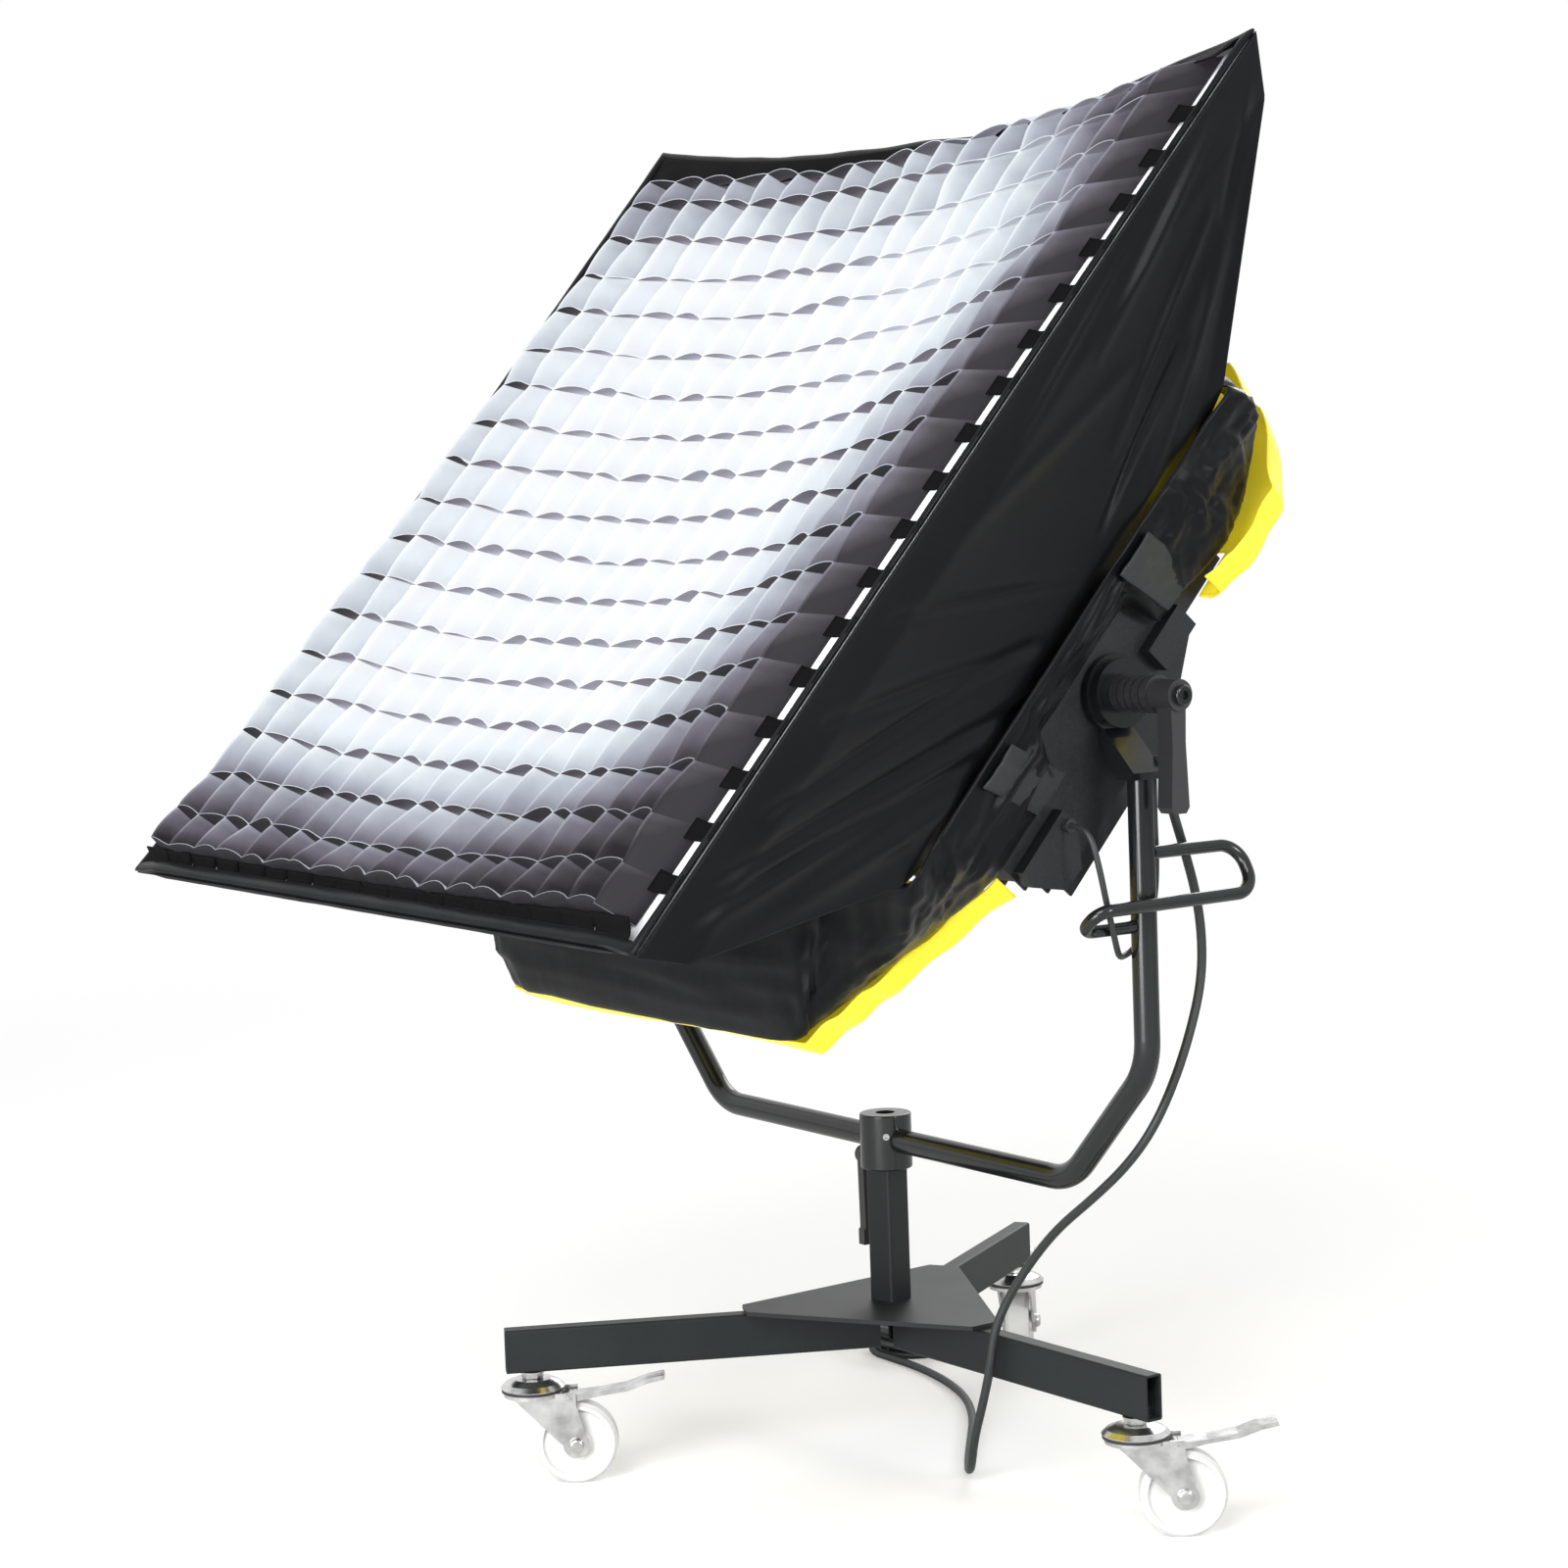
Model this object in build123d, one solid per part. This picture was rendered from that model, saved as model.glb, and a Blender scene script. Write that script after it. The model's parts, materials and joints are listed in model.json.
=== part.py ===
from build123d import *
import math
import os

os.makedirs("parts", exist_ok=True)

# ---------------------------------------------------------------- driving sizes, millimetres
# The model is laid out round the post: its axis is x = y = 0, the floor is z = 0 and the light faces -Y.

# Casters
WHEEL_D = 75.0
WHEEL_WIDTH = 24.0
CASTER_HEIGHT = 104.0
TRAIL = 39.0
CUP_D = 59.0
STEM_R = 5.0
AXLE_R = 4.0
FORK_PLATE = 2.5
BRAKE_PIN_R = 2.5
CASTER_TURN = {"right": 55.9, "left": 55.9, "rear": 137.0}

# Base
LEG_HEIGHT = 40.0
LEG_WIDTH = 18.0
LEG_WALL = 2.0
LEG_LENGTH = 360.0
STEM_INSET = 24.0
LEG_TURN = {"right": 1.9, "left": -115.6, "rear": 122.2}
HUB_RADIUS = 138.0
HUB_TIP = 30.0
HUB_THICK = 4.0
POST_SIDE = 28.0
POST_WALL = 2.0
POST_TURN = 13.0
POST_LENGTH = 123.5
SPIGOT_R = 8.95

# Yoke
YOKE_TUBE_D = 22.0
YOKE_TUBE_WALL = 2.5
BAR_Z = 299.0
ARM_BEND_Z = 407.5
ARM_TOP_Z = 650.0
ARM_BEND_R = 60.0
PIVOT_RISE = 70.7
EAR_THICK = 6.0
EAR_R = 33.0
RING_R = 29.0
RING_THICK = 8.0
SLEEVE_R = 16.0
SLEEVE_LENGTH = 45.0
SPINDLE_R = 6.0
COUPLING_D = 48.0
COUPLING_HEIGHT = 51.2
SOCKET_R = 9.0
HOOK_ROD_D = 11.0

# Locking levers
LEVER_HUB_R = 13.0
LEVER_HUB_LENGTH = 25.7
LEVER_REACH = 97.0
PAN_LEVER_REACH = 85.0
PAN_LEVER_HUB_R = 8.0
PAN_BOLT_Z = 279.0
PAN_BOLT_R = 4.0

# Lamp head, in its own frame: x along the tilt axis, u up its face, n out of its face
TILT = 41.84
HEAD_HALF_LENGTH = 345.0
HEAD_LOW = -182.0
HEAD_HIGH = 162.0
HEAD_FRONT = 60.0
HEAD_BACK = -60.0
HEAD_WALL = 3.0
HEAD_CHAMFER_U = 32.0
HEAD_CHAMFER_N = 40.0
HEAD_BROW_BACK = -20.0
HEAD_SLOPE_TOP = (HEAD_HIGH - 66, -32.0)
HEAD_SLOPE_FOOT = HEAD_HIGH - 124
FIN_COUNT = 22
FIN_THICK = 3.0
FIN_REACH = 24.0

# Softbox, in the lamp head's frame
MOUTH_N = 294.0
MOUTH_HALF_WIDTH = 450.0
MOUTH_LOW = -475.0
MOUTH_HIGH = 453.0
CLOTH = 2.0
ROD_R = 4.0
ROD_BEND_R = 30.0
LIP_WIDTH = 10.0
LIP_DEPTH = 6.0
GRID_CELLS = 17
GRID_DEPTH = 30.0
GRID_WALL = 2.0
GRID_SIDE_GAP = 43.0
GRID_LOW_GAP = 21.0
GRID_HIGH_GAP = 36.0
TAB_DEPTH = 14.0

# Cords
CORD_R = 4.0
LEAD_R = 2.65
COIL_R = 44.0
COIL_PITCH = 8.6
COIL_LAYER_TURNS = 2
COIL_LAYERS = 4
COIL_X = -300.0
COIL_Y = 240.0

# Clearances
RUN_FIT = 0.08
SEAT = 0.3
BOLT_FIT = 0.1
HEAD_GAP = 1.0

LEG_TOP = CASTER_HEIGHT + LEG_HEIGHT
HUB_TOP = LEG_TOP + HUB_THICK
POST_TOP = HUB_TOP + POST_LENGTH
STEM_RADIUS = LEG_LENGTH - STEM_INSET
YOKE_R = YOKE_TUBE_D / 2
WHEEL_R = WHEEL_D / 2
PIVOT_Z = ARM_TOP_Z + PIVOT_RISE
EAR_INNER_X = HEAD_HALF_LENGTH + HEAD_GAP
EAR_OUTER_X = EAR_INNER_X + EAR_THICK
ARM_X = EAR_INNER_X + 32
BAR_HALF = ARM_X - 106
RING_OUTER_X = EAR_OUTER_X + RING_THICK
SLEEVE_OUTER_X = RING_OUTER_X + SLEEVE_LENGTH
LEVER_X = SLEEVE_OUTER_X + SEAT
SPINDLE_END_X = LEVER_X + LEVER_HUB_LENGTH + SEAT
HEAD_FRAME = Plane(
    origin=(0, 0, PIVOT_Z),
    x_dir=(1, 0, 0),
    z_dir=(0, -math.cos(math.radians(TILT)), math.sin(math.radians(TILT))),
).location

pieces = {}
cord_names = ("mains_cord", "cord_coil", "mains_plug")


def rod_x(radius, x_from, x_to):
    return extrude(Plane.YZ.offset(x_from) * Circle(radius), x_to - x_from)


def rod_y(radius, y_from, y_to):
    return extrude(Plane.XZ.offset(-y_to) * Circle(radius), y_to - y_from)


def rod_z(radius, z_from, z_to):
    return Pos(0, 0, z_from) * extrude(Circle(radius), z_to - z_from)


def slab_x(outline, x_from, x_to):
    return extrude(Plane.YZ.offset(x_from) * outline, x_to - x_from, dir=(1, 0, 0))


def slab_y(outline, y_from, y_to):
    return extrude(Plane.XZ.offset(-y_to) * outline, y_to - y_from, dir=(0, -1, 0))


def slab_z(outline, z_from, z_to):
    return extrude(Pos(0, 0, z_from) * outline, z_to - z_from, dir=(0, 0, 1))


def block(x_from, x_to, y_from, y_to, z_from, z_to):
    size = (x_to - x_from, y_to - y_from, z_to - z_from)
    return Pos(x_from, y_from, z_from) * Box(*size, align=Align.MIN)


def area(*points):
    return Polygon(*points, align=None)


def both_sides(solid):
    return Part() + [solid, mirror(solid, Plane.YZ)]


def tube_along(path, radius):
    start = Plane(origin=path @ 0, z_dir=path % 0)
    return sweep(start * Circle(radius), path=path)


def turned(*points):
    """A turned piece: (radius, height) points round the Z axis."""
    return revolve(Plane.XZ * area(*points), Axis.Z)


# ---------------------------------------------------------------- casters

DISC_TOP = CASTER_HEIGHT - 18.3
DISC_THICK = 3.7
DISC_R = CUP_D / 2 - 2.5
FORK_INNER = WHEEL_WIDTH / 2 + 2.5
FORK_OUTER = FORK_INNER + FORK_PLATE
BRAKE_X = 34.0
BRAKE_Z = DISC_TOP - 6.7
NUT_ACROSS = 17.0


def caster_place(leg):
    return Rot(0, 0, LEG_TURN[leg]) * Pos(STEM_RADIUS, 0, 0) * Rot(0, 0, CASTER_TURN[leg] - LEG_TURN[leg])


def caster_fork():
    cheek = area(
        (-21, DISC_TOP), (BRAKE_X + 6, DISC_TOP), (BRAKE_X + 6, BRAKE_Z - 5),
        (TRAIL + 12, WHEEL_R), (TRAIL - 12, WHEEL_R),
    ) + Pos(TRAIL, WHEEL_R) * Circle(12)
    fork = slab_y(cheek, -FORK_OUTER, -FORK_INNER) + slab_y(cheek, FORK_INNER, FORK_OUTER)
    fork += rod_z(DISC_R, DISC_TOP - DISC_THICK, DISC_TOP)
    fork += block(-21, 25, -FORK_OUTER, FORK_OUTER, DISC_TOP - DISC_THICK, DISC_TOP)
    fork -= rod_z(STEM_R + 1 + RUN_FIT, 0, CASTER_HEIGHT)
    fork -= Pos(TRAIL, 0, WHEEL_R) * rod_y(AXLE_R + BOLT_FIT, -30, 30)
    return fork - Pos(BRAKE_X, 0, BRAKE_Z) * rod_y(BRAKE_PIN_R + RUN_FIT, -30, 30)


def caster_axle():
    axle = rod_y(AXLE_R, -FORK_OUTER, FORK_OUTER)
    head = fillet(rod_y(7, -FORK_OUTER - 4.5, -FORK_OUTER).edges().group_by(Axis.Y)[0], 3.5)
    nut = slab_y(RegularPolygon(7.5, 6), FORK_OUTER, FORK_OUTER + 6)
    return Pos(TRAIL, 0, WHEEL_R) * (axle + head + nut)


def caster_wheel():
    half = WHEEL_WIDTH / 2
    hub = FORK_INNER - SEAT
    rim = WHEEL_R - 8
    profile = area(
        (AXLE_R + RUN_FIT, -hub), (11, -hub), (13, -half + 4), (rim, -half + 4), (rim + 2, -half),
        (WHEEL_R - 3, -half), (WHEEL_R, -half + 4), (WHEEL_R, half - 4), (WHEEL_R - 3, half),
        (rim + 2, half), (rim, half - 4), (13, half - 4), (11, hub), (AXLE_R + RUN_FIT, hub),
    )
    return Pos(TRAIL, 0, WHEEL_R) * Rot(-90, 0, 0) * revolve(Plane.XZ * profile, Axis.Z)


def caster_brake():
    pedal = area(
        (BRAKE_X - 3.5, BRAKE_Z - 1.5), (BRAKE_X + 4, BRAKE_Z - 3), (60, 80.5), (88, 84.5), (106, 91),
        (121, 94), (120, 98), (104, 95), (86, 88.5), (60, 84.5), (BRAKE_X + 2, BRAKE_Z + 3.5),
    )
    lever = slab_y(pedal, -11, 11) + Pos(BRAKE_X, 0, BRAKE_Z) * rod_y(3.5, -11, 11)
    return lever + Pos(BRAKE_X, 0, BRAKE_Z) * rod_y(BRAKE_PIN_R, -FORK_OUTER - 1.5, FORK_OUTER + 1.5)


def build_casters():
    stem = turned(
        (0, DISC_TOP - DISC_THICK - 4), (9, DISC_TOP - DISC_THICK - 4), (9, DISC_TOP - DISC_THICK - SEAT),
        (STEM_R + 1, DISC_TOP - DISC_THICK - SEAT), (STEM_R + 1, DISC_TOP + 2.4), (CUP_D / 2 - 1, DISC_TOP + 2.4),
        (CUP_D / 2, DISC_TOP + 4), (CUP_D / 2 - 4, DISC_TOP + 8), (17, DISC_TOP + 11.5),
        (STEM_R, DISC_TOP + 12), (STEM_R, CASTER_HEIGHT + 20), (0, CASTER_HEIGHT + 20),
    )
    ring = rod_z(CUP_D / 2 - 0.5, DISC_TOP + SEAT, DISC_TOP + 2.4)
    ring -= rod_z(STEM_R + 3, 0, CASTER_HEIGHT)
    hexagon = RegularPolygon(NUT_ACROSS / 2, 6, major_radius=False) - Circle(STEM_R + BOLT_FIT)
    washer = Circle(11) - Circle(STEM_R + BOLT_FIT)
    lower = slab_z(washer, CASTER_HEIGHT - 1.5, CASTER_HEIGHT)
    lower += slab_z(hexagon, CASTER_HEIGHT - 6, CASTER_HEIGHT - 1.5)
    inside = LEG_WIDTH - 2 * LEG_WALL - 2 * BOLT_FIT
    plate = Rectangle(26, inside) - Circle(STEM_R + BOLT_FIT)
    upper = Pos(STEM_RADIUS, 0, 0) * slab_z(plate, CASTER_HEIGHT + LEG_WALL, CASTER_HEIGHT + LEG_WALL + 8)
    places = [caster_place(leg) for leg in LEG_TURN]
    pieces["caster_stems"] = Part() + [place * stem for place in places]
    pieces["caster_dust_rings"] = Part() + [place * ring for place in places]
    pieces["caster_nuts"] = Part() + [place * lower for place in places] + [
        Rot(0, 0, turn) * upper for turn in LEG_TURN.values()]
    for leg in LEG_TURN:
        place = caster_place(leg)
        pieces["caster_fork_" + leg] = place * caster_fork()
        pieces["caster_axle_" + leg] = place * caster_axle()
        pieces["caster_wheel_" + leg] = place * caster_wheel()
        pieces["caster_brake_" + leg] = place * caster_brake()


# ---------------------------------------------------------------- base

LEG_START = LEG_WIDTH * 0.7


def build_base():
    outer = fillet(Rectangle(LEG_WIDTH, LEG_HEIGHT).vertices(), 2.5)
    inner = Rectangle(LEG_WIDTH - 2 * LEG_WALL, LEG_HEIGHT - 2 * LEG_WALL)
    leg = slab_x(outer - inner, LEG_START, LEG_LENGTH)
    leg = Pos(0, 0, CASTER_HEIGHT + LEG_HEIGHT / 2) * leg
    leg -= Pos(STEM_RADIUS, 0, 0) * rod_z(STEM_R + BOLT_FIT, 0, LEG_TOP - LEG_WALL)
    for name, turn in LEG_TURN.items():
        pieces["leg_" + name] = Rot(0, 0, turn) * leg

    corners = []
    for turn in sorted(LEG_TURN.values()):
        for side in (-HUB_TIP / 2, HUB_TIP / 2):
            corner = Vector(HUB_RADIUS, side).rotate(Axis.Z, turn)
            corners.append((corner.X, corner.Y))
    pieces["hub_plate"] = slab_z(area(*corners), LEG_TOP, HUB_TOP)

    square = fillet(Rectangle(POST_SIDE, POST_SIDE).vertices(), 3)
    bore = fillet(Rectangle(POST_SIDE - 2 * POST_WALL, POST_SIDE - 2 * POST_WALL).vertices(), 1)
    pieces["post"] = Rot(0, 0, POST_TURN) * slab_z(square - bore, HUB_TOP, POST_TOP)
    plug_side = POST_SIDE - 2 * POST_WALL - 2 * BOLT_FIT
    plug = slab_z(fillet(Rectangle(plug_side, plug_side).vertices(), 1.5), POST_TOP - 25, POST_TOP)
    pieces["post_spigot"] = Rot(0, 0, POST_TURN) * plug + rod_z(SPIGOT_R, POST_TOP, SPIGOT_TOP)


# ---------------------------------------------------------------- yoke

COUPLING_BOTTOM = POST_TOP + SEAT
COUPLING_TOP = COUPLING_BOTTOM + COUPLING_HEIGHT
SPIGOT_TOP = BAR_Z - YOKE_R - 3
SCREW_TURN = -35.0
SCREW_Z = 304.0
SCREW_R = 3.0
CLIP_Z = ARM_TOP_Z + 2
CLIP_HIGH = 16.0
WEB_HALF = 16.0
CORD_Y = WEB_HALF + 11
LEAD_END = (ARM_X - 8, WEB_HALF + 5.5)


def yoke_ear():
    """One arm's head: the round plate at the tilt axis, the web down to the tube and its plug."""
    ear = Pos(0, 0, PIVOT_Z) * rod_x(EAR_R, EAR_INNER_X, EAR_OUTER_X)
    web = area(
        (EAR_INNER_X, PIVOT_Z - 15), (EAR_OUTER_X, PIVOT_Z - 15), (EAR_OUTER_X, PIVOT_Z - 29),
        (ARM_X + YOKE_R, ARM_TOP_Z + 6), (ARM_X + YOKE_R, ARM_TOP_Z), (ARM_X - YOKE_R, ARM_TOP_Z),
        (EAR_INNER_X, PIVOT_Z - 40),
    )
    ear += slab_y(web, -WEB_HALF, WEB_HALF)
    ear += Pos(ARM_X, 0, 0) * rod_z(YOKE_R - YOKE_TUBE_WALL - BOLT_FIT, ARM_TOP_Z - 25, ARM_TOP_Z)
    return ear - Pos(0, 0, PIVOT_Z) * rod_x(SPINDLE_R + RUN_FIT, EAR_INNER_X, EAR_OUTER_X)


def build_yoke():
    route = FilletPolyline(
        (-ARM_X, 0, ARM_TOP_Z), (-ARM_X, 0, ARM_BEND_Z), (-BAR_HALF, 0, BAR_Z),
        (BAR_HALF, 0, BAR_Z), (ARM_X, 0, ARM_BEND_Z), (ARM_X, 0, ARM_TOP_Z), radius=ARM_BEND_R,
    )
    pieces["yoke_tube"] = tube_along(route, YOKE_R) - tube_along(route, YOKE_R - YOKE_TUBE_WALL)

    coupling = fillet(rod_z(COUPLING_D / 2, COUPLING_BOTTOM, COUPLING_TOP).edges(), 1.5)
    coupling -= rod_z(SPIGOT_R + RUN_FIT, COUPLING_BOTTOM, SPIGOT_TOP + SEAT)
    coupling -= rod_z(SOCKET_R, BAR_Z + YOKE_R, COUPLING_TOP)
    coupling -= Pos(0, 0, BAR_Z) * rod_x(YOKE_R + BOLT_FIT, -COUPLING_D, COUPLING_D)
    coupling -= Pos(0, 0, PAN_BOLT_Z) * rod_x(PAN_BOLT_R + BOLT_FIT, -COUPLING_D, -SOCKET_R)
    screw_place = Rot(0, 0, SCREW_TURN) * Pos(0, 0, SCREW_Z)
    coupling -= screw_place * rod_x(SCREW_R + BOLT_FIT, COUPLING_D / 2 - 2.5, COUPLING_D / 2 + 1)
    pieces["coupling"] = coupling
    screw = rod_x(SCREW_R, COUPLING_D / 2 - 2.1, COUPLING_D / 2 + 0.6)
    screw -= slab_x(RegularPolygon(1.6, 6), COUPLING_D / 2 - 1.4, COUPLING_D)
    pieces["coupling_screw"] = screw_place * screw

    pan_bolt = rod_x(PAN_BOLT_R, -COUPLING_D / 2 - 14, -SPIGOT_R - RUN_FIT - 0.2)
    pieces["pan_lock_bolt"] = Pos(0, 0, PAN_BOLT_Z) * pan_bolt

    ear = yoke_ear()
    pieces["yoke_ear_right"] = ear
    pieces["yoke_ear_left"] = mirror(ear, Plane.YZ)
    at_axis = Pos(0, 0, PIVOT_Z)
    ring = rod_x(RING_R, EAR_OUTER_X, RING_OUTER_X) - rod_x(SPINDLE_R + RUN_FIT, 0, SPINDLE_END_X)
    pieces["friction_rings"] = both_sides(at_axis * ring)
    sleeve = rod_x(SLEEVE_R, RING_OUTER_X, SLEEVE_OUTER_X)
    for groove in range(4):
        x = RING_OUTER_X + 8 + groove * 9
        sleeve -= rod_x(SLEEVE_R + 1, x, x + 3) - rod_x(SLEEVE_R - 2, x, x + 3)
    pieces["tilt_sleeves"] = both_sides(at_axis * (sleeve - rod_x(SPINDLE_R + RUN_FIT, 0, SPINDLE_END_X)))

    hook_r = HOOK_ROD_D / 2
    outside = ARM_X + YOKE_R + hook_r + 5.5
    hook = FilletPolyline(
        (ARM_X, YOKE_R + 0.02, 588), (ARM_X, 104, 588), (outside, 104, 549), (outside, -66, 547),
        (ARM_X - 2, -66, 528), (ARM_X - 1, -YOKE_R - 0.02, 528), radius=(20, 20, 13, 13),
    )
    pieces["cable_hook"] = tube_along(hook, hook_r)

    clip = block(LEAD_END[0] - 6, ARM_X + 8, WEB_HALF, CORD_Y + 7, CLIP_Z, CLIP_Z + CLIP_HIGH)
    clip = fillet(clip.edges().filter_by(Axis.Z), 2)
    clip -= Pos(ARM_X, CORD_Y, 0) * rod_z(CORD_R + BOLT_FIT, CLIP_Z, CLIP_Z + 10)
    clip -= Pos(*LEAD_END, 0) * rod_z(LEAD_R + BOLT_FIT, CLIP_Z, CLIP_Z + 10)
    pieces["cable_clip"] = clip


# ---------------------------------------------------------------- locking levers


def build_levers():
    hub = rod_x(LEVER_HUB_R, LEVER_X, LEVER_X + LEVER_HUB_LENGTH)
    grip = area(
        (-8, -6), (8, -6), (7, -40), (9.5, -LEVER_REACH + 5), (6, -LEVER_REACH),
        (-6, -LEVER_REACH), (-9.5, -LEVER_REACH + 5), (-7, -40),
    )
    lever = hub + slab_x(grip, LEVER_X + 5, LEVER_X + 23)
    lever = Pos(0, 0, PIVOT_Z) * (lever - rod_x(SPINDLE_R + RUN_FIT, 0, SPINDLE_END_X))
    pieces["tilt_lever_right"] = lever
    pieces["tilt_lever_left"] = mirror(lever, Plane.YZ)

    hub_x = -COUPLING_D / 2 - 4
    pan_hub = rod_x(PAN_LEVER_HUB_R, hub_x - 12, hub_x)
    pan_grip = area(
        (-6, 0), (6, 0), (5, -PAN_LEVER_REACH + 16), (7, -PAN_LEVER_REACH + 14), (7, -PAN_LEVER_REACH),
        (-7, -PAN_LEVER_REACH), (-7, -PAN_LEVER_REACH + 14), (-5, -PAN_LEVER_REACH + 16),
    )
    pan_lever = pan_hub + slab_x(pan_grip, hub_x - 11, hub_x - 2)
    pan_lever -= rod_x(PAN_BOLT_R + RUN_FIT, hub_x - 10 - SEAT, hub_x + 1)
    pieces["pan_lock_lever"] = Pos(0, 0, PAN_BOLT_Z) * pan_lever


# ---------------------------------------------------------------- lamp head

RING_FRAME_N = 12.0
BLOCK_X = HEAD_HALF_LENGTH + 13
BOARD_N = 28.0
BOX_N = 36.0
BOX_HALF = 60.0


def head_section(inset):
    low = HEAD_LOW + inset
    high = HEAD_HIGH - inset
    back = HEAD_BACK + inset
    step_u = HEAD_SLOPE_TOP[0] - inset
    brow = HEAD_BROW_BACK + inset
    return area(
        (low, HEAD_FRONT), (low, back + HEAD_CHAMFER_N), (low + HEAD_CHAMFER_U, back),
        (HEAD_SLOPE_FOOT - inset / 2, back), (step_u, HEAD_SLOPE_TOP[1] + inset / 2),
        (step_u, brow), (high, brow), (high, HEAD_FRONT),
    )


def build_head():
    shell = slab_x(head_section(0), -HEAD_HALF_LENGTH, HEAD_HALF_LENGTH)
    inner = HEAD_HALF_LENGTH - HEAD_WALL
    shell -= slab_x(head_section(HEAD_WALL), -inner, inner)
    flange = block(-inner, inner, HEAD_LOW + HEAD_WALL, HEAD_HIGH - HEAD_WALL, HEAD_FRONT - 3, HEAD_FRONT)
    window = block(1 - inner + 14, inner - 15, HEAD_LOW + 20, HEAD_HIGH - 20, HEAD_FRONT - 5, HEAD_FRONT + 5)
    shell += flange - window
    shell -= rod_x(SPINDLE_R + BOLT_FIT, -HEAD_HALF_LENGTH, HEAD_HALF_LENGTH)
    rail = block(inner - 40, inner, HEAD_LOW + 10, HEAD_HIGH - 10, BOARD_N - 12, BOARD_N)
    pieces["head_shell"] = HEAD_FRAME * (shell + both_sides(rail))

    mid = (HEAD_LOW + HEAD_CHAMFER_U + HEAD_SLOPE_FOOT) / 2
    half = (HEAD_SLOPE_FOOT - HEAD_LOW - HEAD_CHAMFER_U) / 2 - 2
    reach = HEAD_HALF_LENGTH - 20
    sink = block(-reach, reach, mid - half, mid + half, HEAD_BACK - 4, HEAD_BACK)
    fin = block(-FIN_THICK / 2, FIN_THICK / 2, mid - half, mid + half, HEAD_BACK - 4 - FIN_REACH, HEAD_BACK - 4)
    pitch = (2 * reach - FIN_THICK) / (FIN_COUNT - 1)
    sink += [Pos(-reach + FIN_THICK / 2 + pitch * step, 0, 0) * fin for step in range(FIN_COUNT)]
    room = BOX_HALF + SEAT
    sink -= block(-room, room, mid - room, mid + room, HEAD_BACK - BOX_N, HEAD_BACK - 4)
    pieces["heat_sink"] = HEAD_FRAME * sink

    board = block(12 - inner, inner - 12, HEAD_LOW + 10, HEAD_HIGH - 10, BOARD_N, BOARD_N + 3)
    pieces["led_board"] = HEAD_FRAME * board
    frame_in = HEAD_WALL + SEAT
    lens = block(
        frame_in - HEAD_HALF_LENGTH, HEAD_HALF_LENGTH - frame_in,
        HEAD_LOW + frame_in, HEAD_HIGH - frame_in, HEAD_FRONT - 6, HEAD_FRONT - 3,
    )
    pieces["front_lens"] = HEAD_FRAME * lens
    driver = block(-150, 150, mid - 55, mid + 55, HEAD_BACK + HEAD_WALL, HEAD_BACK + HEAD_WALL + 42)
    pieces["led_driver"] = HEAD_FRAME * driver
    flange = rod_x(15, inner - 6, inner)
    spindle = flange + rod_x(SPINDLE_R, inner, SPINDLE_END_X)
    tip = rod_x(8.5, SPINDLE_END_X, SPINDLE_END_X + 6)
    tip = fillet(tip.edges().group_by(Axis.X)[-1], 2)
    spindle += tip - slab_x(RegularPolygon(4, 6), SPINDLE_END_X + 3, SPINDLE_END_X + 6)
    pieces["tilt_spindles"] = HEAD_FRAME * both_sides(spindle)

    upper = slab_x(area((45, 0), (45, -26), (95, -26), (95, 0)), HEAD_HALF_LENGTH, BLOCK_X)
    lower = area((-178, -12), (-181, -28), (-162, -57), (-138, -59), (-113, -32), (-113, -12))
    lower = slab_x(lower, HEAD_HALF_LENGTH, BLOCK_X)
    pieces["side_blocks"] = HEAD_FRAME * (Part() + [both_sides(upper), both_sides(lower)])
    gland = Pos(0, *LEAD_EXIT) * rod_x(5.5, BLOCK_X, BLOCK_X + 5)
    gland -= Pos(0, *LEAD_EXIT) * rod_x(LEAD_R + BOLT_FIT, BLOCK_X + 1, BLOCK_X + 5)
    pieces["lead_gland"] = HEAD_FRAME * gland

    box_back = HEAD_BACK - BOX_N
    box = block(-BOX_HALF, BOX_HALF, mid - BOX_HALF, mid + BOX_HALF, box_back, HEAD_BACK - 4)
    box = fillet(box.edges().filter_by(Axis.Z), 6)
    knob_place = Pos(-22, mid, box_back)
    switch_place = Pos(28, mid, box_back)
    box -= knob_place * rod_z(3 + RUN_FIT, 0, 8)
    box -= switch_place * Box(12.6, 20.6, 16)
    box -= switch_place * Pos(0, 0, 4) * rod_x(1.5 + RUN_FIT, -8, 8)
    pieces["control_box"] = HEAD_FRAME * box
    knob = rod_z(14, -14 - SEAT, -SEAT) + rod_z(3, -SEAT, 7)
    knob -= [Rot(0, 0, step * 30) * Pos(14.6, 0, 0) * rod_z(1.5, -20, -2) for step in range(12)]
    pieces["dimmer_knob"] = HEAD_FRAME * (knob_place * knob)
    rocker = slab_x(area((-9.2, -1.2), (0, 0.6), (9.2, -3.5), (8.5, 3), (-8.5, 3)), -6, 6)
    rocker += Pos(0, 0, 4) * rod_x(3, -6, 6) + Pos(0, 0, 4) * rod_x(1.5, -7.6, 7.6)
    pieces["power_switch"] = HEAD_FRAME * (switch_place * rocker)


# ---------------------------------------------------------------- softbox

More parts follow.
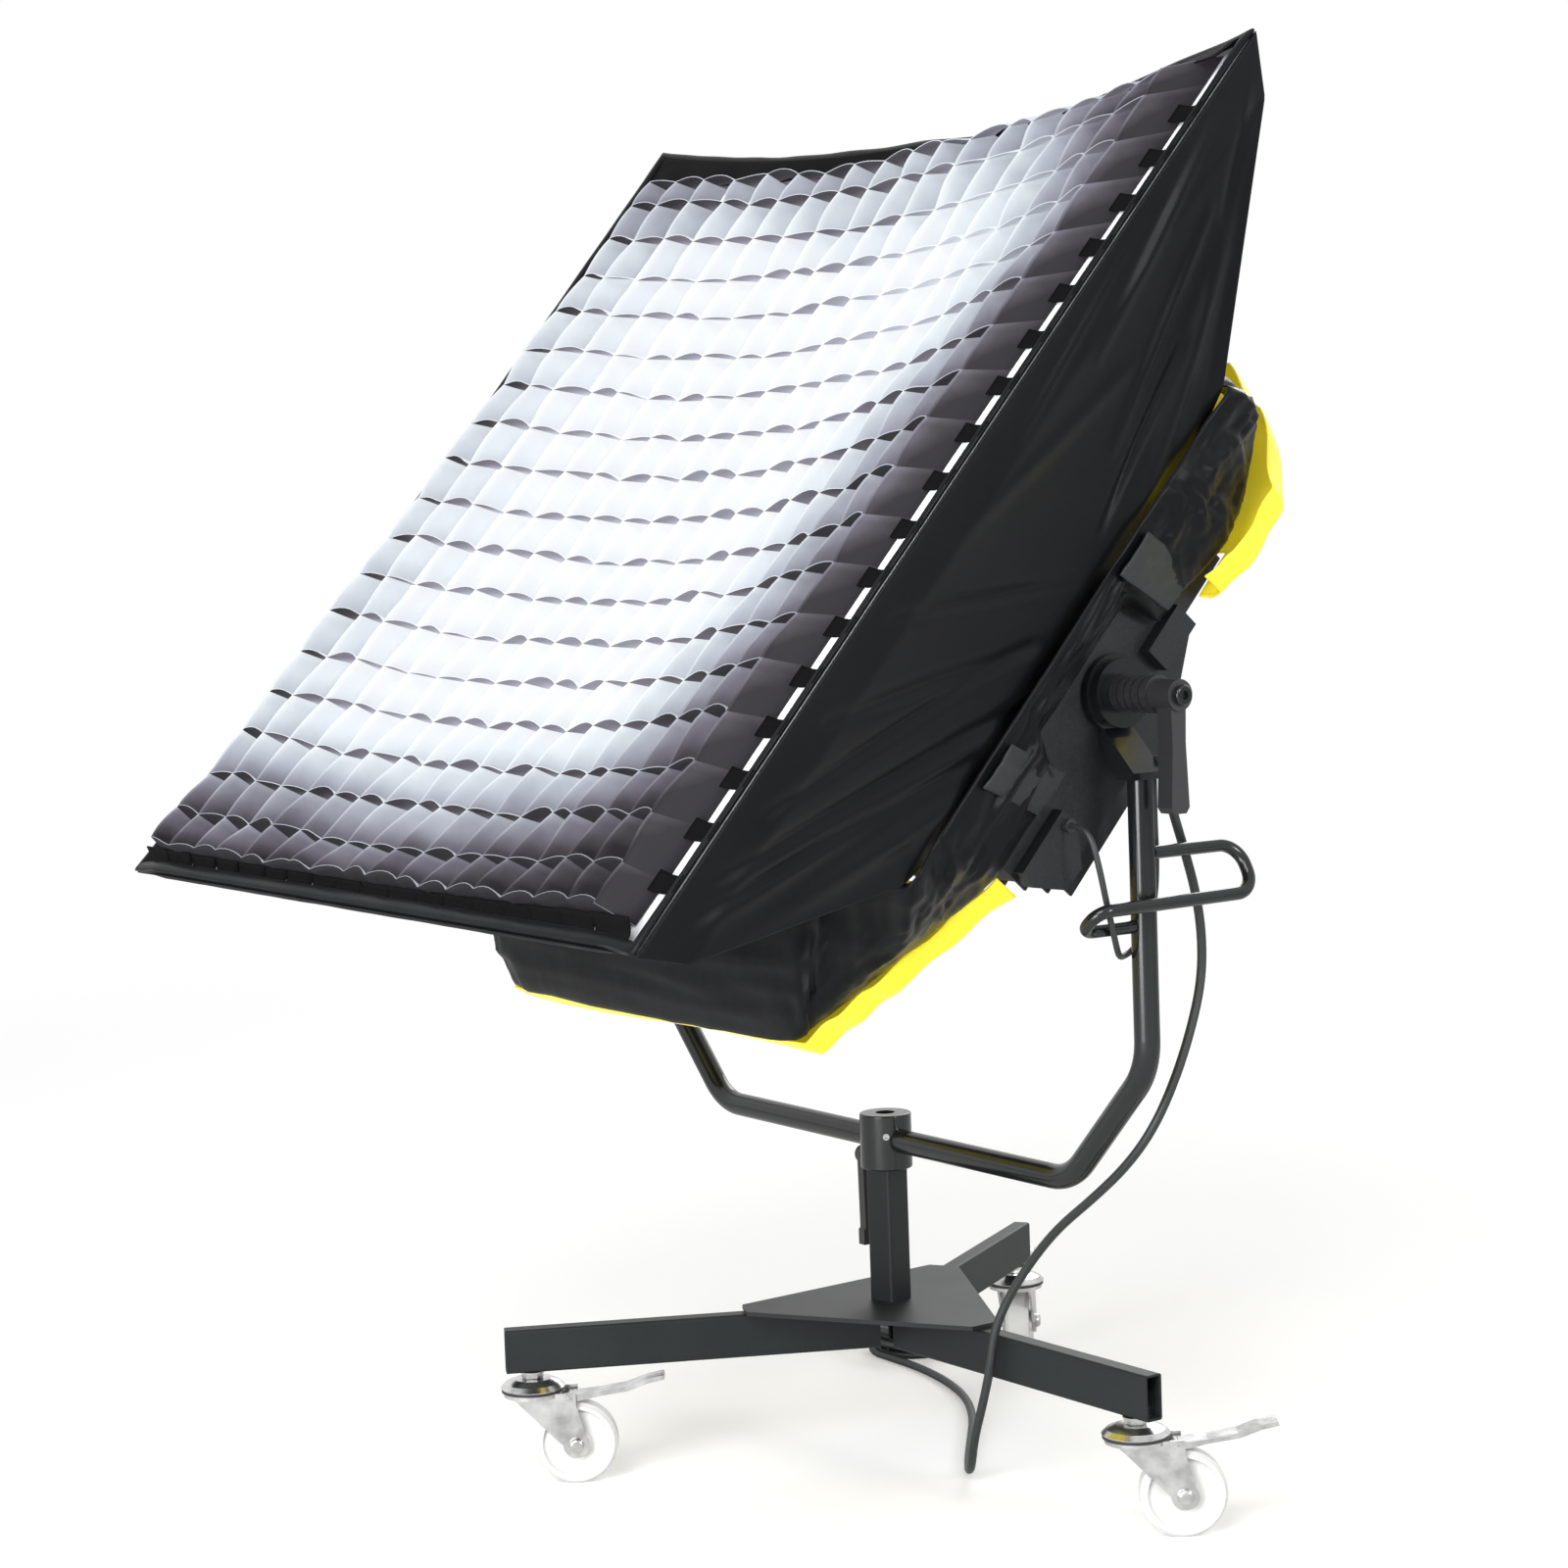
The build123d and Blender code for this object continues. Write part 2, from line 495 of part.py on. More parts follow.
# Depth, half width, lower and upper edge of the cloth where its rods bend.
THROAT = (HEAD_FRONT, HEAD_HALF_LENGTH + 10, HEAD_LOW - 8, HEAD_HIGH + 8)
SHOULDER = (HEAD_FRONT + 45, MOUTH_HALF_WIDTH - 50, MOUTH_LOW + 200, MOUTH_HIGH - 200)
WAIST = (MOUTH_N - 41, MOUTH_HALF_WIDTH, MOUTH_LOW + 23, MOUTH_HIGH - 21)
MOUTH = (MOUTH_N, MOUTH_HALF_WIDTH, MOUTH_LOW, MOUTH_HIGH)
STATIONS = (THROAT, SHOULDER, WAIST, MOUTH)

# The skirt's edge at the tilt axis: its right half, from the top.
SKIRT_IN_X = HEAD_HALF_LENGTH + 7
SKIRT_EDGE = (
    (MOUTH_HALF_WIDTH - 245, MOUTH_HIGH - 78), (MOUTH_HALF_WIDTH - 175, MOUTH_HIGH - 115),
    (MOUTH_HALF_WIDTH - 55, MOUTH_HIGH - 231), (MOUTH_HALF_WIDTH - 38, HEAD_HIGH - 7),
    (MOUTH_HALF_WIDTH - 65, HEAD_HIGH - 37), (SKIRT_IN_X, HEAD_HIGH - 57),
    (SKIRT_IN_X, HEAD_LOW - 8), (MOUTH_HALF_WIDTH - 165, MOUTH_LOW + 173),
    (MOUTH_HALF_WIDTH - 210, MOUTH_LOW + 103),
)
SKIRT_N = 2.0
SKIRT_WAIST_N = 50.0
SKIRT_SIDE_X = HEAD_HALF_LENGTH + 11
SKIRT_END_N = 100.0
NOTCH_LOW = -88.0
NOTCH_HIGH = 60.0
NOTCH_N = 45.0
COVER_N = -22.0
COVER_WALL = 3.0


def rectangle_at(n, x_from, x_to, u_from, u_to):
    centre = Pos((x_from + x_to) / 2, (u_from + u_to) / 2, n)
    return centre * Rectangle(x_to - x_from, u_to - u_from)


def side_panel():
    return loft([rectangle_at(n, x - CLOTH, x, low, high) for n, x, low, high in STATIONS], ruled=True)


def cross_panel(upper):
    sections = []
    for n, x, low, high in STATIONS:
        reach = x - CLOTH - 0.1
        edge = (high - CLOTH, high) if upper else (low, low + CLOTH)
        sections.append(rectangle_at(n, -reach, reach, *edge))
    return loft(sections, ruled=True)


def whole_outline(half):
    return list(half) + [(-x, u) for x, u in reversed(half)]


def skirt_body(inset):
    half_x = SHOULDER_AT_SKIRT[0] + CLOTH + 0.6 - inset
    low = SHOULDER_AT_SKIRT[1] - CLOTH - 0.6 + inset
    high = SHOULDER_AT_SKIRT[2] + CLOTH + 0.6 - inset
    edge = []
    waist = []
    seam = []
    for index, (x, u) in enumerate(SKIRT_EDGE):
        rim = (x - inset, u - math.copysign(inset, u))
        if index == 0:
            top = (x + 25 - inset, high)
        elif index == 1:
            top = (half_x, high)
        elif index == len(SKIRT_EDGE) - 2:
            top = (half_x, low)
        elif index == len(SKIRT_EDGE) - 1:
            top = (x - inset, low)
        else:
            top = (half_x, min(rim[1], high - 30))
        part_way = (SKIRT_WAIST_N - SKIRT_N) / (SKIRT_END_N - SKIRT_N)
        middle = tuple(a + (b - a) * part_way for a, b in zip(rim, top))
        if x == SKIRT_EDGE[5][0]:
            middle = (SKIRT_SIDE_X - inset, rim[1])
        edge.append(rim)
        waist.append(middle)
        seam.append(top)
    levels = ((SKIRT_N, edge), (SKIRT_WAIST_N, waist), (SKIRT_END_N, seam))
    return loft([Pos(0, 0, n) * area(*whole_outline(half)) for n, half in levels], ruled=True)


def cover_dish(half, inset):
    outline = [(x - math.copysign(inset, x), u - math.copysign(inset, u)) for x, u in whole_outline(half)]
    return slab_z(area(*outline), COVER_N + inset, SKIRT_N)


def build_softbox():
    pieces["speed_ring"] = HEAD_FRAME * (
        block(0.5 + CLOTH - THROAT[1], THROAT[1] - CLOTH - 0.5, THROAT[2] + CLOTH + 0.5,
              THROAT[3] - CLOTH - 0.5, HEAD_FRONT, HEAD_FRONT + RING_FRAME_N)
        - block(20 - HEAD_HALF_LENGTH, HEAD_HALF_LENGTH - 20, HEAD_LOW + 20, HEAD_HIGH - 20,
                HEAD_FRONT - 1, HEAD_FRONT + 20)
    )
    rods = Part()
    inside = CLOTH + ROD_R + 6
    for edge, sign in ((2, 1), (3, -1)):
        start = (THROAT[1] - 17, THROAT[edge] + sign * 17, HEAD_FRONT + RING_FRAME_N)
        foot = (start[0], start[1], start[2] + 2 * ROD_R)
        bend = (SHOULDER[1] - inside, SHOULDER[edge] + sign * inside, SHOULDER[0] + 3)
        waist = (WAIST[1] - inside, WAIST[edge] + sign * inside, WAIST[0] - 3)
        end = (MOUTH[1] - inside, MOUTH[edge] + sign * inside, MOUTH_N - 5)
        path = FilletPolyline(start, foot, bend, waist, end, radius=(2 * ROD_R, ROD_BEND_R, ROD_BEND_R))
        rods += both_sides(tube_along(path, ROD_R))
    pieces["softbox_rods"] = HEAD_FRAME * rods

    side = side_panel()
    pieces["panel_right"] = HEAD_FRAME * side
    pieces["panel_left"] = HEAD_FRAME * mirror(side, Plane.YZ)
    pieces["panel_top"] = HEAD_FRAME * cross_panel(True)
    pieces["panel_bottom"] = HEAD_FRAME * cross_panel(False)

    lip = rectangle_at(MOUTH_N, -MOUTH[1], MOUTH[1], MOUTH_LOW, MOUTH_HIGH)
    lip -= rectangle_at(
        MOUTH_N, LIP_WIDTH - MOUTH[1], MOUTH[1] - LIP_WIDTH, MOUTH_LOW + LIP_WIDTH, MOUTH_HIGH - LIP_WIDTH)
    pieces["front_lip"] = HEAD_FRAME * extrude(lip, LIP_DEPTH)
    gap = CLOTH + 1.2
    pieces["diffuser"] = HEAD_FRAME * block(
        gap - MOUTH[1], MOUTH[1] - gap, MOUTH_LOW + gap + 1, MOUTH_HIGH - gap - 1, MOUTH_N - 1.5, MOUTH_N)

    grid_half = MOUTH[1] - GRID_SIDE_GAP
    grid_low = MOUTH_LOW + GRID_LOW_GAP
    grid_high = MOUTH_HIGH - GRID_HIGH_GAP
    across = 2 * grid_half / GRID_CELLS
    down = (grid_high - grid_low) / GRID_CELLS
    centre = Pos(0, (grid_low + grid_high) / 2, MOUTH_N)
    sheet = Rectangle(2 * grid_half, grid_high - grid_low)
    cells = GridLocations(across, down, GRID_CELLS, GRID_CELLS) * Rectangle(across - GRID_WALL, down - GRID_WALL)
    net = Face(sheet.face().outer_wire(), [cell.face().outer_wire() for cell in cells])
    grid = centre * extrude(Sketch() + net, GRID_DEPTH)
    tab_x = MOUTH[1] - LIP_WIDTH - SEAT
    rows = [grid_low + row * down for row in range(1, GRID_CELLS)]
    half_wall = GRID_WALL / 2
    tab_n = MOUTH_N + TAB_DEPTH
    tabs = [block(grid_half - 0.5, tab_x, u - half_wall, u + half_wall, MOUTH_N, tab_n) for u in rows]
    grid += tabs + [mirror(tab, Plane.YZ) for tab in tabs]
    pieces["egg_crate_grid"] = HEAD_FRAME * grid

    skirt = skirt_body(0) - skirt_body(CLOTH)
    notch = block(HEAD_HALF_LENGTH, MOUTH_HALF_WIDTH, NOTCH_LOW, NOTCH_HIGH, 0, NOTCH_N)
    pieces["rear_skirt"] = HEAD_FRAME * (skirt - both_sides(notch))

    upper = SKIRT_EDGE[:5]
    lower = ((SKIRT_EDGE[6][0] - 2, SKIRT_EDGE[6][1] - 4),) + SKIRT_EDGE[7:]
    cover = cover_dish(upper, 0) - cover_dish(upper, COVER_WALL)
    cover -= block(-HEAD_HALF_LENGTH - 3, HEAD_HALF_LENGTH + 3, 0, HEAD_HIGH + 3, 2 * COVER_N, -2 * COVER_N)
    cover = Part() + [cover, cover_dish(lower, 0) - cover_dish(lower, COVER_WALL)]
    pieces["rear_cover"] = HEAD_FRAME * cover


# ---------------------------------------------------------------- cords


def on_station(n):
    """Half width, lower and upper edge of the cloth at a depth between throat and shoulder."""
    share = (n - THROAT[0]) / (SHOULDER[0] - THROAT[0])
    return [a + (b - a) * share for a, b in zip(THROAT[1:], SHOULDER[1:])]


SHOULDER_AT_SKIRT = on_station(SKIRT_END_N)
LEAD_EXIT = (-120.0, -24.0)

MAINS_ROUTE = [
    (ARM_X, 27, 652), (ARM_X - 1, 31, 634), (ARM_X - 7, 43, 612), (ARM_X - 15, 60, 582),
    (ARM_X - 21, 76, 546), (ARM_X - 24, 84, 508), (ARM_X - 22, 80, 470), (ARM_X - 17, 62, 430),
    (ARM_X - 16, 42, 390), (ARM_X - 23, 24, 352), (ARM_X - 48, 15, 318), (ARM_X - 90, 11, 284),
    (242, 9, 252), (206, 7, 218), (182, -2, 182), (170, -10.5, 150), (166, -13, 116), (155, -14, 82),
    (142, -15, 48), (127, -8, 17), (101, 8, 4.5), (64, 36, 4), (18, 74, 4), (-36, 118, 4),
    (-92, 155, 4), (-152, 180, 4), (-222, 195, 4), (COIL_X + 5, COIL_Y - COIL_R, 4),
    (COIL_X, COIL_Y - COIL_R, 4),
]

LEAD_ROUTE = [
    (ARM_X + 10, -61, 605), (ARM_X + 14, -57, 580), (ARM_X + 11, -48, 550), (ARM_X + 8.5, -39, 522),
    (ARM_X - 3, -26, 506), (ARM_X - 16, -12, 501), (ARM_X - 21, 5, 505), (ARM_X - 19, 18, 520),
    (ARM_X - 14.5, 25, 546), (ARM_X - 12.5, 26, 580), (ARM_X - 11.5, 24, 614),
    (ARM_X - 8, 21.6, 640), (ARM_X - 8, 21.5, 652),
]


def corner_radii(route, factor=0.45):
    """The largest radius that each corner's two runs allow."""
    radii = []
    points = [Vector(*point) for point in route]
    for before, here, after in zip(points, points[1:], points[2:]):
        first = here - before
        second = after - here
        half_turn = math.radians(first.get_angle(second)) / 2
        radii.append(factor * min(first.length, second.length) / math.tan(half_turn))
    return radii


def cord_tube(name, route, radius):
    radii = corner_radii(route)
    print(name, "corner radii", [round(value) for value in radii])
    path = FilletPolyline(*route, radius=radii)
    tube = tube_along(path, radius)
    share = tube.volume / (math.pi * radius**2 * path.length)
    print(name, "length", round(path.length), "volume against section times length", round(share, 4))
    return tube


def coil_point(turns):
    """The centre of the coil's tube after so many turns: spiral in, climb, spiral out."""
    layer = turns / COIL_LAYER_TURNS
    phase = layer % 2
    inward = phase if phase < 1 else 2 - phase
    radius = COIL_R - COIL_PITCH * COIL_LAYER_TURNS * inward
    nearest = max(1, min(COIL_LAYERS - 1, round(layer)))
    past = (turns - nearest * COIL_LAYER_TURNS) / 0.5 + 0.5
    climbed = nearest - 1 + max(0.0, min(1.0, past))
    angle = -math.pi / 2 - 2 * math.pi * turns
    return Vector(
        COIL_X + radius * math.cos(angle), COIL_Y + radius * math.sin(angle), CORD_R + COIL_PITCH * climbed)


def coil_direction(turns):
    step = 0.01
    last = COIL_LAYERS * COIL_LAYER_TURNS
    if turns < step or turns > last - step:
        return Vector(-1, 0, 0)
    return (coil_point(turns + step) - coil_point(turns - step)).normalized()


def biarc(start, start_way, end, end_way):
    """Two tangent arcs that join two points and their directions."""
    gap = end - start
    a = 2 * (start_way.dot(end_way) - 1)
    b = -2 * gap.dot(start_way + end_way)
    c = gap.dot(gap)
    reach = (-b - math.sqrt(b * b - 4 * a * c)) / (2 * a) if abs(a) > 1e-9 else -c / b
    knee_a = start + start_way * reach
    knee_b = end - end_way * reach
    middle = (knee_a + knee_b) * 0.5
    return [
        Edge.make_tangent_arc(start, start_way, middle),
        Edge.make_tangent_arc(middle, (knee_b - knee_a).normalized(), end),
    ]


PLUG_Z = 13.0
TAIL_STRAIGHT = 20.0
TAIL_DROP_LENGTH = 66.0


def coil_path():
    edges = []
    steps = COIL_LAYERS * COIL_LAYER_TURNS * 4
    for step in range(steps):
        here = step / 4
        there = (step + 1) / 4
        edges += biarc(coil_point(here), coil_direction(here), coil_point(there), coil_direction(there))
    end = coil_point(steps / 4)
    way = Vector(-1, 0, 0)
    tail = end + way * TAIL_STRAIGHT
    edges.append(Edge.make_line(end, tail))
    plug = Vector(tail.X - TAIL_DROP_LENGTH, tail.Y, PLUG_Z)
    edges += biarc(tail, way, plug, way)
    return edges, plug


def least_gap(edges, per_edge=12):
    """The least gap between the coil's own turns, measured on points along its centre line."""
    marks = []
    run = 0.0
    for edge in edges:
        for step in range(per_edge):
            marks.append((run + edge.length * step / per_edge, tuple(edge @ (step / per_edge))))
        run += edge.length
    apart = COIL_R
    least = min(
        math.dist(here, there)
        for index, (at, here) in enumerate(marks)
        for past, there in marks[index + 1:]
        if past - at > apart
    )
    return least - 2 * CORD_R


def build_cords():
    pieces["mains_cord"] = cord_tube("mains_cord", MAINS_ROUTE, CORD_R)
    edges, plug_at = coil_path()
    path = Wire(edges)
    coil = tube_along(path, CORD_R)
    share = coil.volume / (math.pi * CORD_R**2 * path.length)
    print("cord_coil length", round(path.length), "volume share", round(share, 4))
    print("cord_coil least gap to itself", round(least_gap(edges), 2))
    pieces["cord_coil"] = coil

    neck = rod_x(CORD_R + 2.5, -14, 0)
    body = slab_x(fillet(Rectangle(34, 2 * PLUG_Z - 0.6).vertices(), 5), -46, -14)
    pins = [Pos(0, y, z) * rod_x(2.4, -64, -46) for y, z in ((-9.5, 0), (9.5, 0))]
    pieces["mains_plug"] = Pos(*plug_at) * (body + neck + pins)

    place = (HEAD_FRAME * Pos(0, *LEAD_EXIT)).position
    lead = [(BLOCK_X + 1, place.Y, place.Z), (BLOCK_X + 18, place.Y, place.Z)] + LEAD_ROUTE
    pieces["head_lead"] = cord_tube("head_lead", lead, LEAD_R)


# ---------------------------------------------------------------- build and write

build_casters()
build_base()
build_yoke()
build_levers()
build_head()
build_softbox()
build_cords()

standing = [solid.bounding_box() for name, solid in pieces.items() if name not in cord_names]
low_corner = [min(getattr(box.min, axis) for box in standing) for axis in "XYZ"]
high_corner = [max(getattr(box.max, axis) for box in standing) for axis in "XYZ"]
ORIGIN_X = (low_corner[0] + high_corner[0]) / 2
ORIGIN_Y = (low_corner[1] + high_corner[1]) / 2
ORIGIN_Z = low_corner[2]
print("origin in the post frame", round(ORIGIN_X, 4), round(ORIGIN_Y, 4), round(ORIGIN_Z, 4))

for name, solid in pieces.items():
    export_step(Pos(-ORIGIN_X, -ORIGIN_Y, -ORIGIN_Z) * solid, "parts/" + name + ".step")
print(len(pieces), "pieces written")
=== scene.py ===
import json
import math
import random

import bpy
from mathutils import Matrix, Vector, noise
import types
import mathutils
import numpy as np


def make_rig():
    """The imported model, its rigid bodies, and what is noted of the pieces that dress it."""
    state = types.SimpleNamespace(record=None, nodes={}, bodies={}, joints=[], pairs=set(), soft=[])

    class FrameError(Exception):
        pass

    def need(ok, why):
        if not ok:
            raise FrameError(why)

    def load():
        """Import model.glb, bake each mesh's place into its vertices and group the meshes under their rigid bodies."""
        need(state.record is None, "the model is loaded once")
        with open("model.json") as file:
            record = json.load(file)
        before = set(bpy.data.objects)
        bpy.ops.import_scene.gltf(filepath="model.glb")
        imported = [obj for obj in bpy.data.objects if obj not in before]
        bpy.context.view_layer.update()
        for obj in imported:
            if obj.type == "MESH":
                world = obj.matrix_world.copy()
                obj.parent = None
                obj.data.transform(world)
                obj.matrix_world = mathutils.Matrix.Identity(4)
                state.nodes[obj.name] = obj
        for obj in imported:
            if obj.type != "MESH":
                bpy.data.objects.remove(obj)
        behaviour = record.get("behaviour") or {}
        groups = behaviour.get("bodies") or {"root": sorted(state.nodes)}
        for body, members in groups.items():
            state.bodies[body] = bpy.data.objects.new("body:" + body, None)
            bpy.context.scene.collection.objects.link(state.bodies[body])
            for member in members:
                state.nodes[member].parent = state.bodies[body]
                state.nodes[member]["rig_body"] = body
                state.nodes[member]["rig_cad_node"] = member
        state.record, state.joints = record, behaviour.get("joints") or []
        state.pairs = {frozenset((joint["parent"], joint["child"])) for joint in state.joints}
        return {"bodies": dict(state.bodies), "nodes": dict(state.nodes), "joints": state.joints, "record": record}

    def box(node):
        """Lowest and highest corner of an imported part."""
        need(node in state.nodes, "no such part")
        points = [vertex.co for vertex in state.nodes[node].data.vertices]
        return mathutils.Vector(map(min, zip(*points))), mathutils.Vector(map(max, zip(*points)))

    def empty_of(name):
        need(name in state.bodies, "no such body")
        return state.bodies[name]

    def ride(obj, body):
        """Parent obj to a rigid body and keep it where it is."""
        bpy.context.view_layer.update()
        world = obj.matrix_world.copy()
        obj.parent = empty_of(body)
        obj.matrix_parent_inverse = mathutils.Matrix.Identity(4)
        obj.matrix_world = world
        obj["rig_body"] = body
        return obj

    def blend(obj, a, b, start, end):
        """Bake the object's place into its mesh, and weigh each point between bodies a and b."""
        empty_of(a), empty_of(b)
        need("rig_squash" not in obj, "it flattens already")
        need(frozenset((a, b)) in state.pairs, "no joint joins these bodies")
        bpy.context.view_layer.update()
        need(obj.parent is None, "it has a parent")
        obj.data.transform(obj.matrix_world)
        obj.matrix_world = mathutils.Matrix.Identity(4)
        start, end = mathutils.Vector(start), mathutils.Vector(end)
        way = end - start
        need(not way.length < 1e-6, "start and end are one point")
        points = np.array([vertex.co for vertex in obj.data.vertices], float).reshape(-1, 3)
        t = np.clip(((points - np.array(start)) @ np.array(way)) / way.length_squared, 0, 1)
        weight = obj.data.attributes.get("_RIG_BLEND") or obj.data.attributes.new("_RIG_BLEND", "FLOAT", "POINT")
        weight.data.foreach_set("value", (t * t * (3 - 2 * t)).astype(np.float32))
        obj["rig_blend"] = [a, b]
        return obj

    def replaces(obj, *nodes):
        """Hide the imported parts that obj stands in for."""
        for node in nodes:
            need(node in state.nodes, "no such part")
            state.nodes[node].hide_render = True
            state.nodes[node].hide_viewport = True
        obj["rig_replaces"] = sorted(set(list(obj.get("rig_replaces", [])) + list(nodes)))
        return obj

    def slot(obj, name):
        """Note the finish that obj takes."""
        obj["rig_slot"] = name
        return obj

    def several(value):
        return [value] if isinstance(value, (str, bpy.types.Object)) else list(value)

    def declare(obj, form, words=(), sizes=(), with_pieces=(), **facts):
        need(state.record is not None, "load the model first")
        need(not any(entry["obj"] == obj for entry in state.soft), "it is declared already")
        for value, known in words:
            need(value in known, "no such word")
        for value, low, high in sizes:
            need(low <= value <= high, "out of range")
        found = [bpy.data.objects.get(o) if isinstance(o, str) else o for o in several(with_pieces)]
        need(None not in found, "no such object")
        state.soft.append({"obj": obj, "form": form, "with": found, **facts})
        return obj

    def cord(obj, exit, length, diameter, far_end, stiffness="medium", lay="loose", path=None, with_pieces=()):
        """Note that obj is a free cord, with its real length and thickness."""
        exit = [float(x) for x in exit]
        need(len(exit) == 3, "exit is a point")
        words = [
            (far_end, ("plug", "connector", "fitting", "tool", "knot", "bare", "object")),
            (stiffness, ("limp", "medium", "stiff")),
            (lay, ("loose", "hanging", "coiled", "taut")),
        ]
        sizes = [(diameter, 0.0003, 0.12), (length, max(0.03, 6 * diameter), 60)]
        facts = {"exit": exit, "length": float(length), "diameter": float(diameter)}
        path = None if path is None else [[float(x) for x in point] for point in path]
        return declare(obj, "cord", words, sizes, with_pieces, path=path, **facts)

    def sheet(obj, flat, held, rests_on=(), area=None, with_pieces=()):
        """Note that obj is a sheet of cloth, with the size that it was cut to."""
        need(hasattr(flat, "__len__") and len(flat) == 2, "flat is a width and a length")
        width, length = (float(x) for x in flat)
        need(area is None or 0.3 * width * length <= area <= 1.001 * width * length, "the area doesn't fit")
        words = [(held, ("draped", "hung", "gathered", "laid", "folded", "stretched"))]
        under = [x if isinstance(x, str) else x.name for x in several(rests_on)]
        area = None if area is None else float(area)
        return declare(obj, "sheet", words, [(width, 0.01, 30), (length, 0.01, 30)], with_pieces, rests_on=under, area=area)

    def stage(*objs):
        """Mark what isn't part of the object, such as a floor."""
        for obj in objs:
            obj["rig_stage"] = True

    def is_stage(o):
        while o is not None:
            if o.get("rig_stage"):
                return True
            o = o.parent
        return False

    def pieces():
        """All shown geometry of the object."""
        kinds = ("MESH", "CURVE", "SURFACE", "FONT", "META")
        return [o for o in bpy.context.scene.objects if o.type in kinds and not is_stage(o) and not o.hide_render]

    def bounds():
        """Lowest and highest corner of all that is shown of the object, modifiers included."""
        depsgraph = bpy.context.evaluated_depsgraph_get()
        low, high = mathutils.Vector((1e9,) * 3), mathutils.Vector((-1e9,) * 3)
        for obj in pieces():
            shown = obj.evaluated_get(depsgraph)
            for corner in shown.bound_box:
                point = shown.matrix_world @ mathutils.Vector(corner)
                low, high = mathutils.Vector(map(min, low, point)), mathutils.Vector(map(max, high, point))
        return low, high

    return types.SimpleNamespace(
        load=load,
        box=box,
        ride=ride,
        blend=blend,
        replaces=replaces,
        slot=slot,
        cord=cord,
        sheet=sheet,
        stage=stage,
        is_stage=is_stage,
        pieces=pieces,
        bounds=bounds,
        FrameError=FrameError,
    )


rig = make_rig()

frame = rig.load()
cad_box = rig.bounds()


# ---------------------------------------------------------------- studio
# A plain white sweep with soft light from the front, low and high, and weaker
# ones from the right and behind. The camera stands low on the right, where the photograph was taken.

POST_Y = (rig.box("post_spigot")[0].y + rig.box("post_spigot")[1].y) / 2


def from_post(x, y, z):
    """A point measured from the post's foot on the floor."""
    return Vector((x, y + POST_Y, z))


turn, rise, roll = math.radians(55.86), math.radians(4.08), math.radians(-1.98)
back = Vector((math.sin(turn) * math.cos(rise), -math.cos(turn) * math.cos(rise), math.sin(rise)))
level = Vector((math.cos(turn), math.sin(turn), 0))
upright = back.cross(level)
camera_right = level * math.cos(roll) + upright * math.sin(roll)
camera_up = upright * math.cos(roll) - level * math.sin(roll)
camera_data = bpy.data.cameras.new("camera")
camera_data.lens = 75.83
camera_data.sensor_width = 36
camera_data.shift_x = -0.00663
camera_data.shift_y = -0.0164
camera = bpy.data.objects.new("camera", camera_data)
camera.matrix_world = Matrix((
    (camera_right.x, camera_up.x, back.x, 2.469),
    (camera_right.y, camera_up.y, back.y, -1.762 + POST_Y),
    (camera_right.z, camera_up.z, back.z, 0.871),
    (0, 0, 0, 1),
))
bpy.context.scene.collection.objects.link(camera)
bpy.context.scene.camera = camera
bpy.context.scene.view_settings.view_transform = "Standard"


class Reading:
    """A value on its way through a material's nodes, which takes part in sums."""

    def __init__(self, socket):
        self.socket = socket

    def node(self, kind, settings=None, inputs=None, out=0):
        """A node of this kind; inputs are numbers, colours or readings, by name or place."""
        made = self.socket.id_data.nodes.new("ShaderNode" + kind)
        for name, value in (settings or {}).items():
            if name == "stops":
                ramp = made.color_ramp.elements
                while len(ramp) < len(value):
                    ramp.new(0.5)
                for stop, (place, colour) in zip(ramp, value):
                    stop.position = place
                    stop.color = (*colour, 1) if hasattr(colour, "__len__") else (colour, colour, colour, 1)
            else:
                setattr(made, name, value)
        for name, value in (inputs or {}).items():
            if isinstance(value, Reading):
                self.socket.id_data.links.new(value.socket, made.inputs[name])
            else:
                made.inputs[name].default_value = value
        return Reading(made.outputs[out])

    def maths(self, operation, first, second):
        return self.node("Math", {"operation": operation}, {0: first, 1: second})

    def __add__(self, other):
        return self.maths("ADD", self, other)

    def __radd__(self, other):
        return self.maths("ADD", other, self)

    def __sub__(self, other):
        return self.maths("SUBTRACT", self, other)

    def __rsub__(self, other):
        return self.maths("SUBTRACT", other, self)

    def __mul__(self, other):
        return self.maths("MULTIPLY", self, other)

    def __rmul__(self, other):
        return self.maths("MULTIPLY", other, self)

    def noise(self, scale, detail=3, roughness=0.5, stretch=(1, 1, 1)):
        """Cloudy variation from 0 to 1, so many to the metre."""
        place = self.node("Mapping", None, {"Vector": self, "Scale": stretch})
        return place.node("TexNoise", None, {
            "Vector": place, "Scale": scale, "Detail": detail, "Roughness": roughness})

    def between(self, low, high):
        """From 0 at low to 1 at high, clamped."""
        return self.node("MapRange", {"interpolation_type": "SMOOTHSTEP"}, {0: self, 1: low, 2: high})

    def blend(self, dark, light):
        """A colour from dark at 0 to light at 1."""
        return self.node("Mix", {"data_type": "RGBA"}, {
            0: self, 6: (*dark, 1) if not isinstance(dark, Reading) else dark,
            7: (*light, 1) if not isinstance(light, Reading) else light}, out=2)

    def bump(self, height, distance=0.001):
        """The normal of a surface that rises by distance metres where the value is 1."""
        return self.node("Bump", None, {"Height": self, "Strength": height, "Distance": distance})

    def feeds(self, surface, name):
        self.socket.id_data.links.new(self.socket, surface.inputs[name])


